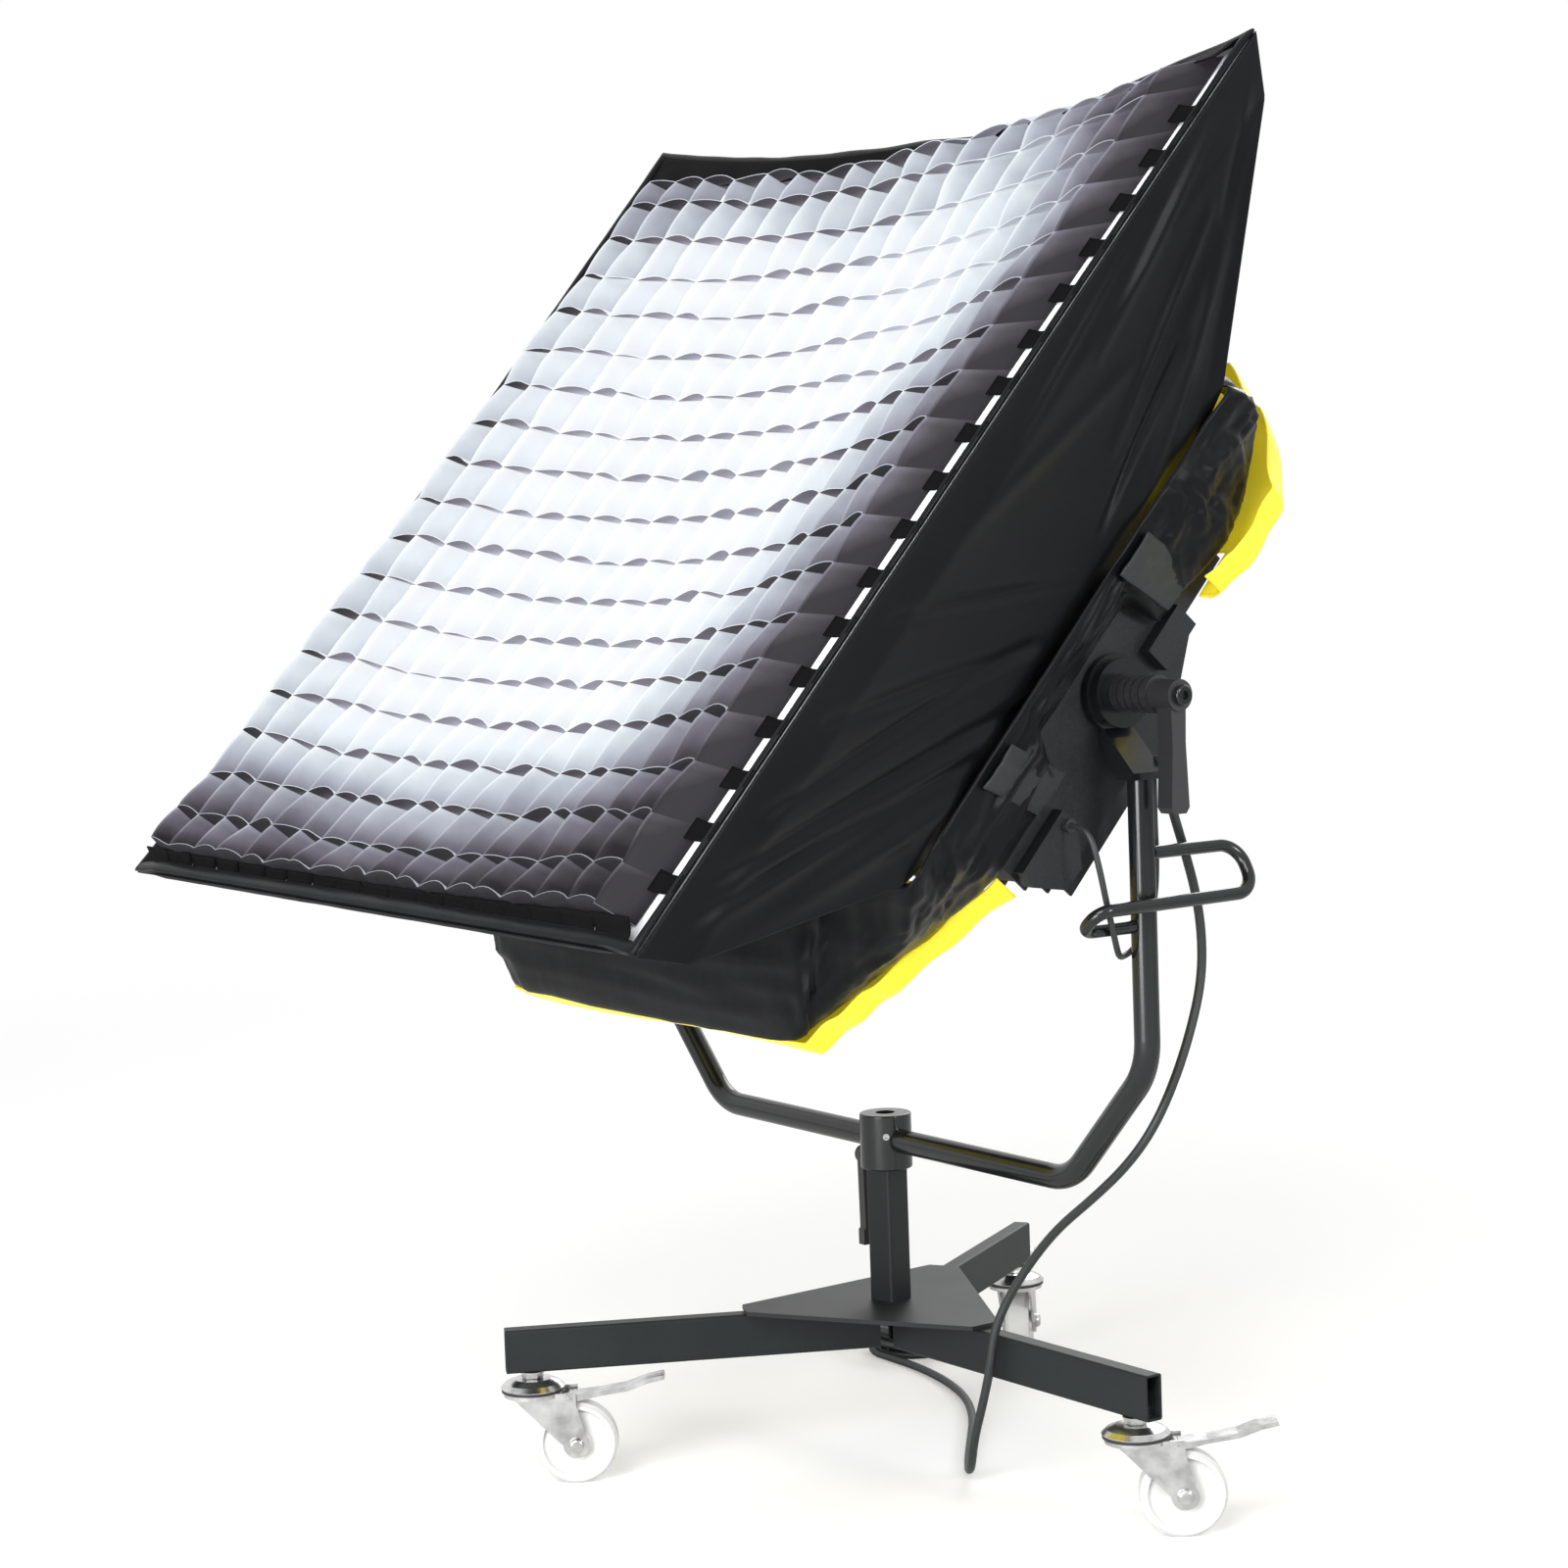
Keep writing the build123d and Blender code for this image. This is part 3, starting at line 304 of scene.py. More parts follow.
def new_finish(name, **steady):
    """A material, its Principled node with these steady values, and the place on the object."""
    material = bpy.data.materials.new(name)
    material.use_nodes = True
    surface = material.node_tree.nodes["Principled BSDF"]
    for socket, value in steady.items():
        surface.inputs[socket.replace("_", " ")].default_value = value
    place = material.node_tree.nodes.new("ShaderNodeTexCoord").outputs["Object"]
    return material, surface, Reading(place)


floor_paint, floor_surface, floor_place = new_finish("studio_floor", Roughness=0.9)
floor_surface.inputs["Base Color"].default_value = (0.8, 0.8, 0.8, 1)
floor_surface.inputs["Specular IOR Level"].default_value = 0.1
seen = floor_place.node("LightPath")
floor_tree = floor_paint.node_tree
glow = floor_place.node("Emission", None, {"Color": (1, 1, 1, 1), "Strength": 0.27})
both = floor_place.node("AddShader")
floor_tree.links.new(floor_surface.outputs[0], both.socket.node.inputs[0])
floor_tree.links.new(glow.socket, both.socket.node.inputs[1])
far = floor_place.node("VectorMath", {"operation": "LENGTH"}, {0: floor_place}, out=1).between(1.3, 4.2)
white = floor_place.node("Emission", None, {"Color": (1, 1, 1, 1), "Strength": 1.0})
sweep = far.node("MixShader")
floor_tree.links.new(far.socket, sweep.socket.node.inputs[0])
floor_tree.links.new(both.socket, sweep.socket.node.inputs[1])
floor_tree.links.new(white.socket, sweep.socket.node.inputs[2])
chosen = floor_place.node("MixShader")
floor_tree.links.new(seen.socket, chosen.socket.node.inputs[0])
floor_tree.links.new(floor_surface.outputs[0], chosen.socket.node.inputs[1])
floor_tree.links.new(sweep.socket, chosen.socket.node.inputs[2])
floor_tree.links.new(chosen.socket, floor_tree.nodes["Material Output"].inputs[0])
bpy.ops.object.select_all(action="DESELECT")
bpy.ops.mesh.primitive_plane_add(size=60, location=(0, 0, 0))
floor = bpy.context.object
floor.name = "studio_floor"
floor.data.materials.append(floor_paint)
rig.stage(floor)

world = bpy.data.worlds.new("studio")
bpy.context.scene.world = world
world.use_nodes = True
air = world.node_tree.nodes["Background"]
seen = world.node_tree.nodes.new("ShaderNodeLightPath")
paths = Reading(seen.outputs["Is Camera Ray"]) + Reading(seen.outputs["Is Glossy Ray"])
paths = (paths + Reading(seen.outputs["Is Transmission Ray"])).between(0, 1)
light_level = paths.node("Mix", {"data_type": "FLOAT"}, {0: paths, 2: 0.50, 3: 1.0})
world.node_tree.links.new(light_level.socket, air.inputs["Strength"])
air.inputs["Color"].default_value = (1, 1, 1, 1)


def softlight(name, place, aim, size, power, height=None):
    data = bpy.data.lights.new(name, "AREA")
    data.shape = "RECTANGLE"
    data.size = size
    data.size_y = height or size
    data.energy = power
    lamp = bpy.data.objects.new(name, data)
    lamp.location = from_post(*place)
    lamp.rotation_mode = "QUATERNION"
    lamp.rotation_quaternion = (from_post(*aim) - lamp.location).to_track_quat("-Z", "Y")
    lamp.visible_camera = False
    bpy.context.scene.collection.objects.link(lamp)


softlight("key_light", (2.2, -3.0, 3.4), (0, 0, 0.5), 2.2, 120)
softlight("side_light", (4.4, 0.9, 1.9), (0, 0, 0.7), 0.9, 70)
softlight("back_light", (-2.4, 3.4, 2.8), (0, 0, 0.5), 2.2, 60)
softlight("low_light", (1.3, -3.3, 0.8), (0.378, 0, 0.5), 1.8, 105, 1.6)


# ---------------------------------------------------------------- mains cord
# A round three-core lead in black rubber. It leaves a moulded clip behind the right arm,
# hangs, passes over the right leg and runs back along the floor to a coil with its plug.

CORD_R = 0.004
ARM_X = 0.378
COIL_AT = (-0.3, 0.24)
COIL_R = 0.044
COIL_PITCH = 0.0086

MAINS_ROUTE = [
    (ARM_X, 0.027, 0.652), (ARM_X - 0.001, 0.031, 0.634), (ARM_X - 0.007, 0.043, 0.612),
    (ARM_X - 0.015, 0.060, 0.582), (ARM_X - 0.021, 0.076, 0.546), (ARM_X - 0.024, 0.084, 0.508),
    (ARM_X - 0.022, 0.080, 0.470), (ARM_X - 0.017, 0.062, 0.430), (ARM_X - 0.016, 0.042, 0.390),
    (ARM_X - 0.023, 0.024, 0.352), (ARM_X - 0.048, 0.015, 0.318), (ARM_X - 0.090, 0.011, 0.284),
    (0.242, 0.009, 0.252), (0.206, 0.007, 0.218), (0.182, -0.002, 0.182), (0.170, -0.0105, 0.150),
    (0.166, -0.013, 0.116), (0.155, -0.014, 0.082), (0.142, -0.015, 0.048), (0.127, -0.008, 0.017),
    (0.101, 0.008, 0.0045), (0.064, 0.036, 0.004), (0.018, 0.074, 0.004), (-0.036, 0.118, 0.004),
    (-0.092, 0.155, 0.004), (-0.152, 0.180, 0.004), (-0.222, 0.195, 0.004),
    (-0.295, 0.196, 0.004),
]
TAIL = [
    (-0.312, 0.196, 0.0298), (-0.326, 0.196, 0.0290), (-0.345, 0.196, 0.0230),
    (-0.362, 0.196, 0.0160), (-0.376, 0.196, 0.0132), (-0.386, 0.196, 0.0130),
]


def coil_point(turns):
    """Spiral in, climb a layer, spiral out: four layers of two turns."""
    layer = turns / 2
    phase = layer % 2
    inward = phase if phase < 1 else 2 - phase
    radius = COIL_R - COIL_PITCH * 2 * inward
    nearest = max(1, min(3, round(layer)))
    climbed = nearest - 1 + max(0.0, min(1.0, (turns - nearest * 2) / 0.5 + 0.5))
    angle = -math.pi / 2 - 2 * math.pi * turns
    return (
        COIL_AT[0] + radius * math.cos(angle), COIL_AT[1] + radius * math.sin(angle),
        CORD_R + COIL_PITCH * climbed)


def cord_along(name, points, radius, sides=3):
    """A mesh tube along the smooth line that these points steer, and that line's points."""
    data = bpy.data.curves.new(name, "CURVE")
    data.dimensions = "3D"
    spline = data.splines.new("NURBS")
    spline.points.add(len(points) - 1)
    for knot, place in zip(spline.points, points):
        knot.co = (*place, 1)
    spline.order_u = 3
    spline.use_endpoint_u = True
    data.resolution_u = 5
    drawn = bpy.data.objects.new(name + "_line", data)
    bpy.context.scene.collection.objects.link(drawn)
    bpy.context.view_layer.update()
    line = [vertex.co.copy() for vertex in bpy.data.meshes.new_from_object(drawn).vertices]
    data.bevel_depth = radius
    data.bevel_resolution = sides
    data.use_fill_caps = True
    bpy.context.view_layer.update()
    mesh = bpy.data.meshes.new_from_object(drawn.evaluated_get(bpy.context.evaluated_depsgraph_get()))
    bpy.data.objects.remove(drawn)
    for polygon in mesh.polygons:
        polygon.use_smooth = True
    tube = bpy.data.objects.new(name, mesh)
    bpy.context.scene.collection.objects.link(tube)
    return tube, line


rubber, surface, place = new_finish("black_rubber_sheath", Roughness=0.5)
grain = place.noise(420, 4)
grain.blend((0.010, 0.013, 0.013), (0.024, 0.028, 0.028)).feeds(surface, "Base Color")
(grain * 0.2 + 0.38).feeds(surface, "Roughness")
place.noise(1800, 2).bump(0.25, 0.0003).feeds(surface, "Normal")

points = [from_post(*point) for point in MAINS_ROUTE]
points += [from_post(*coil_point(step / 14)) for step in range(0, 14 * 8 + 1)]
points += [from_post(*point) for point in TAIL]
mains, mains_line = cord_along("mains_flex", points, CORD_R)
mains.data.materials.append(rubber)

plug = frame["nodes"]["mains_plug"]
plug.data.materials.clear()
plug.data.materials.append(rubber)

bpy.ops.object.select_all(action="DESELECT")
bpy.ops.mesh.primitive_cone_add(
    vertices=20, radius1=CORD_R + 0.0004, radius2=CORD_R + 0.0026, depth=0.03, end_fill_type="NGON")
boot = bpy.context.object
boot.name = "cord_boot"
bpy.ops.object.mode_set(mode="EDIT")
for height in (-0.010, -0.005, 0.0, 0.005):
    bpy.ops.mesh.select_all(action="SELECT")
    bpy.ops.mesh.bisect(plane_co=(0, 0, height), plane_no=(0, 0, 1))
bpy.ops.object.mode_set(mode="OBJECT")
for vertex in boot.data.vertices:
    if abs(vertex.co.z + 0.005) < 1e-5 or abs(vertex.co.z - 0.005) < 1e-5:
        vertex.co.x *= 0.82
        vertex.co.y *= 0.82
way = (mains_line[0] - mains_line[8]).normalized()
facing = way.to_track_quat("Z", "Y").to_matrix().to_4x4()
boot.data.transform(Matrix.Translation(mains_line[0] - way * 0.0148) @ facing)
boot.data.materials.append(rubber)
bpy.ops.object.shade_smooth_by_angle(angle=math.radians(40))
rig.ride(boot, "yoke")
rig.slot(boot, "black_rubber")

length = sum((b - a).length for a, b in zip(mains_line, mains_line[1:]))
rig.slot(mains, "black_rubber")
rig.replaces(mains, "mains_cord", "cord_coil")
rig.blend(mains, "base", "yoke", start=from_post(0, 0, 0.165), end=from_post(0, 0, 0.29))
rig.cord(
    mains, exit=mains_line[0], length=length, diameter=2 * CORD_R, far_end="plug", stiffness="medium",
    lay="loose", path=mains_line, with_pieces=[plug, boot])


# ---------------------------------------------------------------- lamp lead
# The thinner lead between the lamp's gland and the clip: it hangs in a loose loop
# beside the arm, so that the lamp can tilt.

LEAD_R = 0.00265
HEAD_AT = Vector((0, POST_Y, (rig.box("friction_rings")[0].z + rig.box("friction_rings")[1].z) / 2))
TILT = math.radians(41.84)


def from_head(x, u, n):
    """A point in the lamp head's own directions: along its axis, up its face, out of its face."""
    return HEAD_AT + Vector((
        x, u * math.sin(TILT) - n * math.cos(TILT), u * math.cos(TILT) + n * math.sin(TILT)))


LEAD_ROUTE = [
    (ARM_X + 0.010, -0.061, 0.605), (ARM_X + 0.014, -0.057, 0.580), (ARM_X + 0.011, -0.048, 0.550),
    (ARM_X + 0.0085, -0.039, 0.522), (ARM_X - 0.003, -0.026, 0.506), (ARM_X - 0.016, -0.012, 0.501),
    (ARM_X - 0.021, 0.005, 0.505), (ARM_X - 0.019, 0.018, 0.520), (ARM_X - 0.0145, 0.025, 0.546),
    (ARM_X - 0.0125, 0.026, 0.580), (ARM_X - 0.0115, 0.024, 0.614), (ARM_X - 0.008, 0.0216, 0.640),
    (ARM_X - 0.008, 0.0215, 0.652),
]
points = [from_head(0.359, -0.120, -0.024), from_head(0.376, -0.120, -0.024)]
points += [from_post(*point) for point in LEAD_ROUTE]
lead, lead_line = cord_along("lamp_flex", points, LEAD_R)
lead.data.materials.append(rubber)
length = sum((b - a).length for a, b in zip(lead_line, lead_line[1:]))
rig.slot(lead, "black_rubber")
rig.replaces(lead, "head_lead")
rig.blend(lead, "yoke", "head", start=from_post(0, 0.018, 0), end=from_post(0, -0.06, 0))
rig.cord(
    lead, exit=lead_line[0], length=length, diameter=2 * LEAD_R, far_end="object", stiffness="limp",
    lay="hanging", path=lead_line)


# ---------------------------------------------------------------- steelwork
# The legs, hub, post, coupling and yoke are welded and bolted steel tube and plate,
# powder coated in a fine-textured satin black that looks slightly green-grey in the light.

powder, surface, place = new_finish("black_powder_coat", Roughness=0.45, Specular_IOR_Level=0.22)
cloud = place.noise(9, 4)
fleck = place.noise(900, 3)
(cloud * 0.6 + fleck * 0.4).blend((0.0055, 0.0072, 0.0076), (0.020, 0.0245, 0.0252)).feeds(
    surface, "Base Color")
(cloud * 0.12 + fleck * 0.16 + 0.30).feeds(surface, "Roughness")
fleck.bump(0.35, 0.0003).feeds(surface, "Normal")

enamel, surface, place = new_finish("black_gloss_enamel", Roughness=0.2, Specular_IOR_Level=0.45)
cloud = place.noise(30, 4)
peel = place.noise(420, 2)
(cloud * 0.7 + peel * 0.3).blend((0.004, 0.0045, 0.005), (0.011, 0.0125, 0.0135)).feeds(surface, "Base Color")
(cloud * 0.08 + 0.14).feeds(surface, "Roughness")
peel.bump(0.06, 0.0003).feeds(surface, "Normal")

# ---------------------------------------------------------------- casters
# Pressed and zinc-plated steel forks with a nylon wheel, on threaded stems.

zinc, surface, place = new_finish("bright_zinc", Metallic=1.0)
cloud = place.noise(60, 4)
swirl = place.noise(300, 3)
# The zinc's colour swings from dark to light in broad clouds. This is partly the plating's own uneven tone and partly
# a painted reflection, standing in for the dark and bright surroundings that the metal would mirror.
(cloud.between(0.25, 0.75) * 0.8 + swirl * 0.2).blend((0.38, 0.38, 0.39), (0.74, 0.74, 0.73)).feeds(
    surface, "Base Color")
(cloud * 0.16 + 0.16).feeds(surface, "Roughness")
swirl.bump(0.06, 0.0004).feeds(surface, "Normal")

nylon, surface, place = new_finish("white_nylon", IOR=1.5)
cloud = place.noise(40, 3)
cloud.blend((0.58, 0.58, 0.57), (0.72, 0.72, 0.71)).feeds(surface, "Base Color")
(cloud * 0.2 + 0.3).feeds(surface, "Roughness")
place.noise(700, 2).bump(0.1, 0.0002).feeds(surface, "Normal")

# ---------------------------------------------------------------- lamp and trims
# Extruded and anodised aluminium, moulded black plastic and the lamp's milky front sheet.

anodised, surface, place = new_finish("black_anodised", Metallic=0.6)
brushed = place.noise(500, 3, stretch=(0.05, 1, 1))
brushed.blend((0.014, 0.015, 0.016), (0.035, 0.037, 0.040)).feeds(surface, "Base Color")
(brushed * 0.2 + 0.32).feeds(surface, "Roughness")
brushed.bump(0.15, 0.0002).feeds(surface, "Normal")

aluminium, surface, place = new_finish("bare_aluminium", Metallic=1.0)
brushed = place.noise(600, 3, stretch=(0.05, 1, 1))
brushed.blend((0.55, 0.56, 0.58), (0.76, 0.77, 0.78)).feeds(surface, "Base Color")
(brushed * 0.2 + 0.28).feeds(surface, "Roughness")
brushed.bump(0.2, 0.0002).feeds(surface, "Normal")

plastic, surface, place = new_finish("black_moulded_plastic", Roughness=0.4)
grain = place.noise(1400, 2)
grain.blend((0.012, 0.012, 0.013), (0.026, 0.026, 0.028)).feeds(surface, "Base Color")
(grain * 0.15 + 0.34).feeds(surface, "Roughness")
grain.bump(0.3, 0.0002).feeds(surface, "Normal")

milky, surface, place = new_finish("milky_sheet", Roughness=0.3)
cloud = place.noise(12, 2)
cloud.blend((0.80, 0.81, 0.82), (0.90, 0.90, 0.90)).feeds(surface, "Base Color")
(cloud * 0.1 + 0.25).feeds(surface, "Roughness")

finishes = {
    "black_paint": powder, "zinc_plate": zinc, "white_nylon": nylon, "black_anodised": anodised,
    "bare_aluminium": aluminium, "black_plastic": plastic, "milky_plastic": milky, "black_rubber": rubber,
}
for row in frame["record"]["subparts"]:
    if row["material_slot"] in finishes:
        node = frame["nodes"][row["node"]]
        node.data.materials.clear()
        node.data.materials.append(finishes[row["material_slot"]])
for name in (
    "yoke_tube", "yoke_ear_right", "yoke_ear_left", "friction_rings", "cable_hook", "coupling",
    "tilt_spindles",
):
    frame["nodes"][name].data.materials.clear()
    frame["nodes"][name].data.materials.append(enamel)


# ---------------------------------------------------------------- side walls of the softbox
# Four trapezoids of black coated nylon, sewn edge to edge and held taut by four
# bowed rods. They pull in between the rods and crease from corner to corner.

MOUTH_HALF, MOUTH_LOW, MOUTH_HIGH = 0.45, -0.475, 0.453
WALL_BACK, WALL_FRONT = 0.060, 0.2945
STATIONS = (
    (WALL_BACK, 0.355, -0.190, 0.170), (0.105, 0.399, -0.275, 0.243),
    (0.253, 0.449, -0.452, 0.420), (0.294, MOUTH_HALF, MOUTH_LOW, MOUTH_HIGH),
)
LIP_SAG, LIP_DIP = 0.027, 0.008


def station(n):
    """Half width, lower and upper edge of the box at this depth."""
    for first, second in zip(STATIONS, STATIONS[1:]):
        if n <= second[0]:
            share = max(0.0, (n - first[0]) / (second[0] - first[0]))
            return [a + (b - a) * share for a, b in zip(first[1:], second[1:])]
    return list(STATIONS[-1][1:])


def fold(at, first, second, width, height):
    """A long soft fold from first to second, in metres up and out of the head, dying away at its ends."""
    run = second - first
    share = max(0.0, min(1.0, (at - first).dot(run) / run.length_squared))
    off = (at - first - run * share).length
    return height * math.exp(-(off / width) ** 2) * math.sin(math.pi * (0.10 + 0.80 * share))


def cloth_grid(name, across, along, place, wall, finish, behind=None):
    """A sheet of so many squares whose points go where place(a, b) says, a and b from 0 to 1."""
    bpy.ops.object.select_all(action="DESELECT")
    bpy.ops.mesh.primitive_grid_add(x_subdivisions=across, y_subdivisions=along, size=1, calc_uvs=True)
    sheet = bpy.context.object
    sheet.name = name
    for vertex in sheet.data.vertices:
        vertex.co = place(vertex.co.x + 0.5, vertex.co.y + 0.5)
    sheet.data.update()
    if wall:
        solid = sheet.modifiers.new("wall", "SOLIDIFY")
        solid.thickness = wall
        solid.offset = 0
        if behind:
            sheet.data.materials.append(finish)
            sheet.data.materials.append(behind)
            solid.material_offset = 1
            solid.material_offset_rim = 1
        bpy.ops.object.modifier_apply(modifier="wall")
    bpy.ops.object.shade_smooth()
    if not behind:
        sheet.data.materials.append(finish)
    return sheet


nylon_cloth, surface, place = new_finish(
    "black_coated_nylon", Roughness=0.4, Sheen_Weight=0.02, Sheen_Roughness=0.4, Specular_IOR_Level=0.11)
warp = place.noise(2600, 1, stretch=(1, 0.2, 0.2))
weft = place.noise(2600, 1, stretch=(0.2, 1, 1))
cloud = place.noise(7, 3)
crush = place.noise(16, 3, 0.5, stretch=(1, 0.45, 0.8))
(cloud * 0.7 + warp * 0.3).blend((0.0022, 0.0023, 0.0030), (0.0062, 0.0068, 0.0080)).feeds(
    surface, "Base Color")
(cloud * 0.22 + 0.26).feeds(surface, "Roughness")
crush.node("Bump", None, {
    "Height": crush, "Strength": 0.22, "Distance": 0.006,
    "Normal": (warp + weft).bump(0.15, 0.0003)}).feeds(surface, "Normal")

white_cloth, surface, place = new_finish("white_diffuser_cloth", Roughness=0.8)
thread = place.noise(1500, 2)
# Painted glow: the cloth gives off light itself, brightest around a point near the middle of the mouth and fading
# towards its edges, standing in for the lamp shining through it from behind.
near = place.node("VectorMath", {"operation": "DISTANCE"}, {0: place, 1: from_head(-0.08, 0, 0.294)}, out=1)
painted_backlight = 1 - near.between(0.18, 0.62)
thread.blend((0.72, 0.73, 0.75), (0.84, 0.85, 0.86)).feeds(surface, "Base Color")
painted_backlight.blend((0.10, 0.10, 0.11), (0.95, 0.96, 0.98)).feeds(surface, "Emission Color")
surface.inputs["Emission Strength"].default_value = 0.8
thread.bump(0.2, 0.0003).feeds(surface, "Normal")


def lip_sag(x):
    """How far the long upper edge of the mouth hangs down its face, and as far again back into the box."""
    even = max(0.0, 1 - (x / MOUTH_HALF) ** 2)
    return LIP_SAG * even + LIP_DIP * math.exp(-((x - 0.15) / 0.10) ** 2)


def lip_bow(u):
    """How far the left edge of the mouth is pulled in between its corners."""
    return 0.019 * max(0.0, 1 - ((u + 0.011) / 0.464) ** 2)


def side_wall(sign):
    folds = [
        ((-0.421, 0.270), (-0.150, 0.108), 0.0055, -0.0055),
        ((-0.390, 0.274), (-0.055, 0.076), 0.0060, -0.0060),
        ((-0.324, 0.268), (-0.044, 0.120), 0.0055, -0.0050),
        ((-0.238, 0.266), (-0.036, 0.110), 0.0070, -0.0055),
        ((-0.138, 0.268), (0.020, 0.120), 0.0060, -0.0045),
        ((-0.440, 0.235), (-0.160, 0.085), 0.0100, 0.0060),
        ((-0.430, 0.262), (-0.120, 0.100), 0.0060, 0.0040),
        ((0.230, 0.170), (0.070, 0.125), 0.0050, -0.0070),
        ((0.330, 0.200), (0.110, 0.100), 0.0120, 0.0070),
        ((0.278, 0.285), (0.044, 0.262), 0.0040, 0.0028),
        ((0.318, 0.230), (0.120, 0.165), 0.0060, 0.0040),
        ((0.393, 0.237), (0.190, 0.080), 0.0100, -0.0050),
        ((0.380, 0.282), (0.150, 0.240), 0.0060, 0.0035),
        ((0.415, 0.270), (0.330, 0.215), 0.0060, -0.0055),
        ((-0.030, 0.250), (0.180, 0.200), 0.0080, 0.0030),
    ]
    if sign < 0:
        folds = [
            ((-u0 - 0.02, n0), (-u1 - 0.02, n1), width, height)
            for (u0, n0), (u1, n1), width, height in folds[:9]]
        folds += [((-0.30, 0.24), (-0.10, 0.10), 0.009, 0.005), ((-0.18, 0.27), (-0.02, 0.12), 0.007, -0.005)]
    folds = [(Vector(a), Vector(b), width, height) for a, b, width, height in folds]

    def place(a, b):
        n = WALL_BACK + (WALL_FRONT - WALL_BACK) * b
        half, low, high = station(n)
        taut = math.sin(math.pi * min(1, max(0, b))) ** 0.7
        hollow = 0.016 * max(0.0, math.sin(math.pi * a)) ** 0.8 * taut
        u = low + (high - low) * a
        at = Vector((u, n))
        lift = sum(fold(at, *each) for each in folds)
        lift *= min(1.0, 9 * b * (1 - b)) * min(1.0, 12 * a * (1 - a))
        pull = lip_bow(u) * b ** 3 if sign < 0 else 0.0
        return from_head(sign * (half - 0.001 - hollow - pull + min(lift, hollow + 0.004)), u, n)

    return place


def cross_wall(upper):
    sign = 1 if upper else -1
    folds = [
        ((-0.41, 0.27), (-0.12, 0.10), 0.008, 0.006), ((0.41, 0.27), (0.16, 0.09), 0.008, 0.006),
        ((-0.36, 0.28), (0.02, 0.11), 0.007, -0.006), ((0.34, 0.28), (0.05, 0.12), 0.007, -0.006),
        ((-0.22, 0.28), (-0.28, 0.09), 0.009, 0.005), ((0.20, 0.28), (0.30, 0.09), 0.009, 0.005),
        ((0.02, 0.28), (0.10, 0.09), 0.010, -0.005), ((-0.12, 0.27), (-0.20, 0.09), 0.007, -0.005),
    ]
    folds = [(Vector(a), Vector(b), width, height) for a, b, width, height in folds]

    def place(a, b):
        n = WALL_BACK + (WALL_FRONT - WALL_BACK) * b
        half, low, high = station(n)
        edge = high if upper else low
        x = (half - 0.002) * (2 * a - 1)
        sunk = lip_sag(x) * b * b if upper else 0.0
        hollow = lip_sag(x) * b ** 0.7 if upper else (
            0.014 * max(0.0, math.sin(math.pi * a)) ** 0.8 * max(0.0, math.sin(math.pi * b)) ** 0.7)
        lift = sum(fold(Vector((x, n)), *each) for each in folds)
        lift *= min(1.0, 9 * b * (1 - b)) * min(1.0, 12 * a * (1 - a))
        return from_head(x, edge - sign * (0.001 + hollow - min(lift, hollow + 0.004)), n - sunk)

    return place


for name, placing, flat, plane, fineness in (
    ("right_wall", side_wall(1), (0.93, 0.26), 0.19, (250, 76)),
    ("left_wall", side_wall(-1), (0.93, 0.26), 0.19, (220, 66)),
    ("top_wall", cross_wall(True), (0.90, 0.40), 0.31, (200, 56)),
    ("bottom_wall", cross_wall(False), (0.90, 0.40), 0.31, (200, 56)),
):
    wall = cloth_grid(name, *fineness, placing, 0.0016, nylon_cloth)
    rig.ride(wall, "head")
    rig.slot(wall, "black_cloth")
    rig.replaces(wall, "panel_" + name.split("_")[0])
    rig.sheet(wall, flat=flat, held="stretched", rests_on=["softbox_rods"], area=plane)

# ---------------------------------------------------------------- diffuser
# A sheet of white polyester fastened inside the mouth. The glow of the lamp behind it is painted: the sheet gives off
# light itself, brightest near its middle.
# It hangs back into the box under its own weight.

MOUTH_HANG = 0.058


def hang(x, u):
    """How far the cloth of the mouth hangs back into the box under its own weight."""
    level = max(0.0, 1 - ((u + 0.0185) / 0.462) ** 2) ** 0.8
    deep = MOUTH_HANG * max(0.0, 1 - (x / 0.428) ** 2)
    if x < -0.362:
        edge = max(0.0, min(1.0, (0.446 - lip_bow(u) + x) / 0.026))
        deep += 0.009 * min(1.0, (-0.362 - x) / 0.045) * edge
    return deep * level


def diffuser_place(a, b):
    x = 0.4458 * (2 * a - 1)
    u = -0.4708 + (0.4470 + 0.4708) * b
    x += lip_bow(u) * max(0.0, 1 - 2 * a) ** 3
    u -= lip_sag(x) * max(0.0, b - 0.6) / 0.4
    sunk = lip_sag(x) * (max(0.0, u) / 0.42) ** 2
    return from_head(x, u, 0.2928 - hang(x, u) - min(sunk, lip_sag(x)) + 0.0004 * math.sin(31 * a + 7 * b))


diffuser = cloth_grid("diffuser_sheet", 70, 70, diffuser_place, 0.0006, white_cloth)
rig.ride(diffuser, "head")
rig.slot(diffuser, "white_cloth")
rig.replaces(diffuser, "diffuser")

# ---------------------------------------------------------------- cell grid
# A net of thin ribbons of black cloth, 17 cells across and 18 up, sewn where they cross and tied to the
# lip by black webbing tabs. Its front droops; the ribbons arch between the crossings. Their glow, white in the middle
# and violet grey towards the edges, is painted light given off as emission, standing in for the diffuser's light
# through the net.

GRID_X = 0.407
CELLS = 17
NET_DEEP = 0.0295
NET_LOW, NET_SECOND, NET_PITCH, NET_HIGH = -0.453, -0.415, 0.0485, 0.393
ROWS = [NET_LOW] + [NET_SECOND + NET_PITCH * row for row in range(17)] + [NET_HIGH]
random.seed(17)
UP_FACE = from_head(0, 1, 0) - HEAD_AT


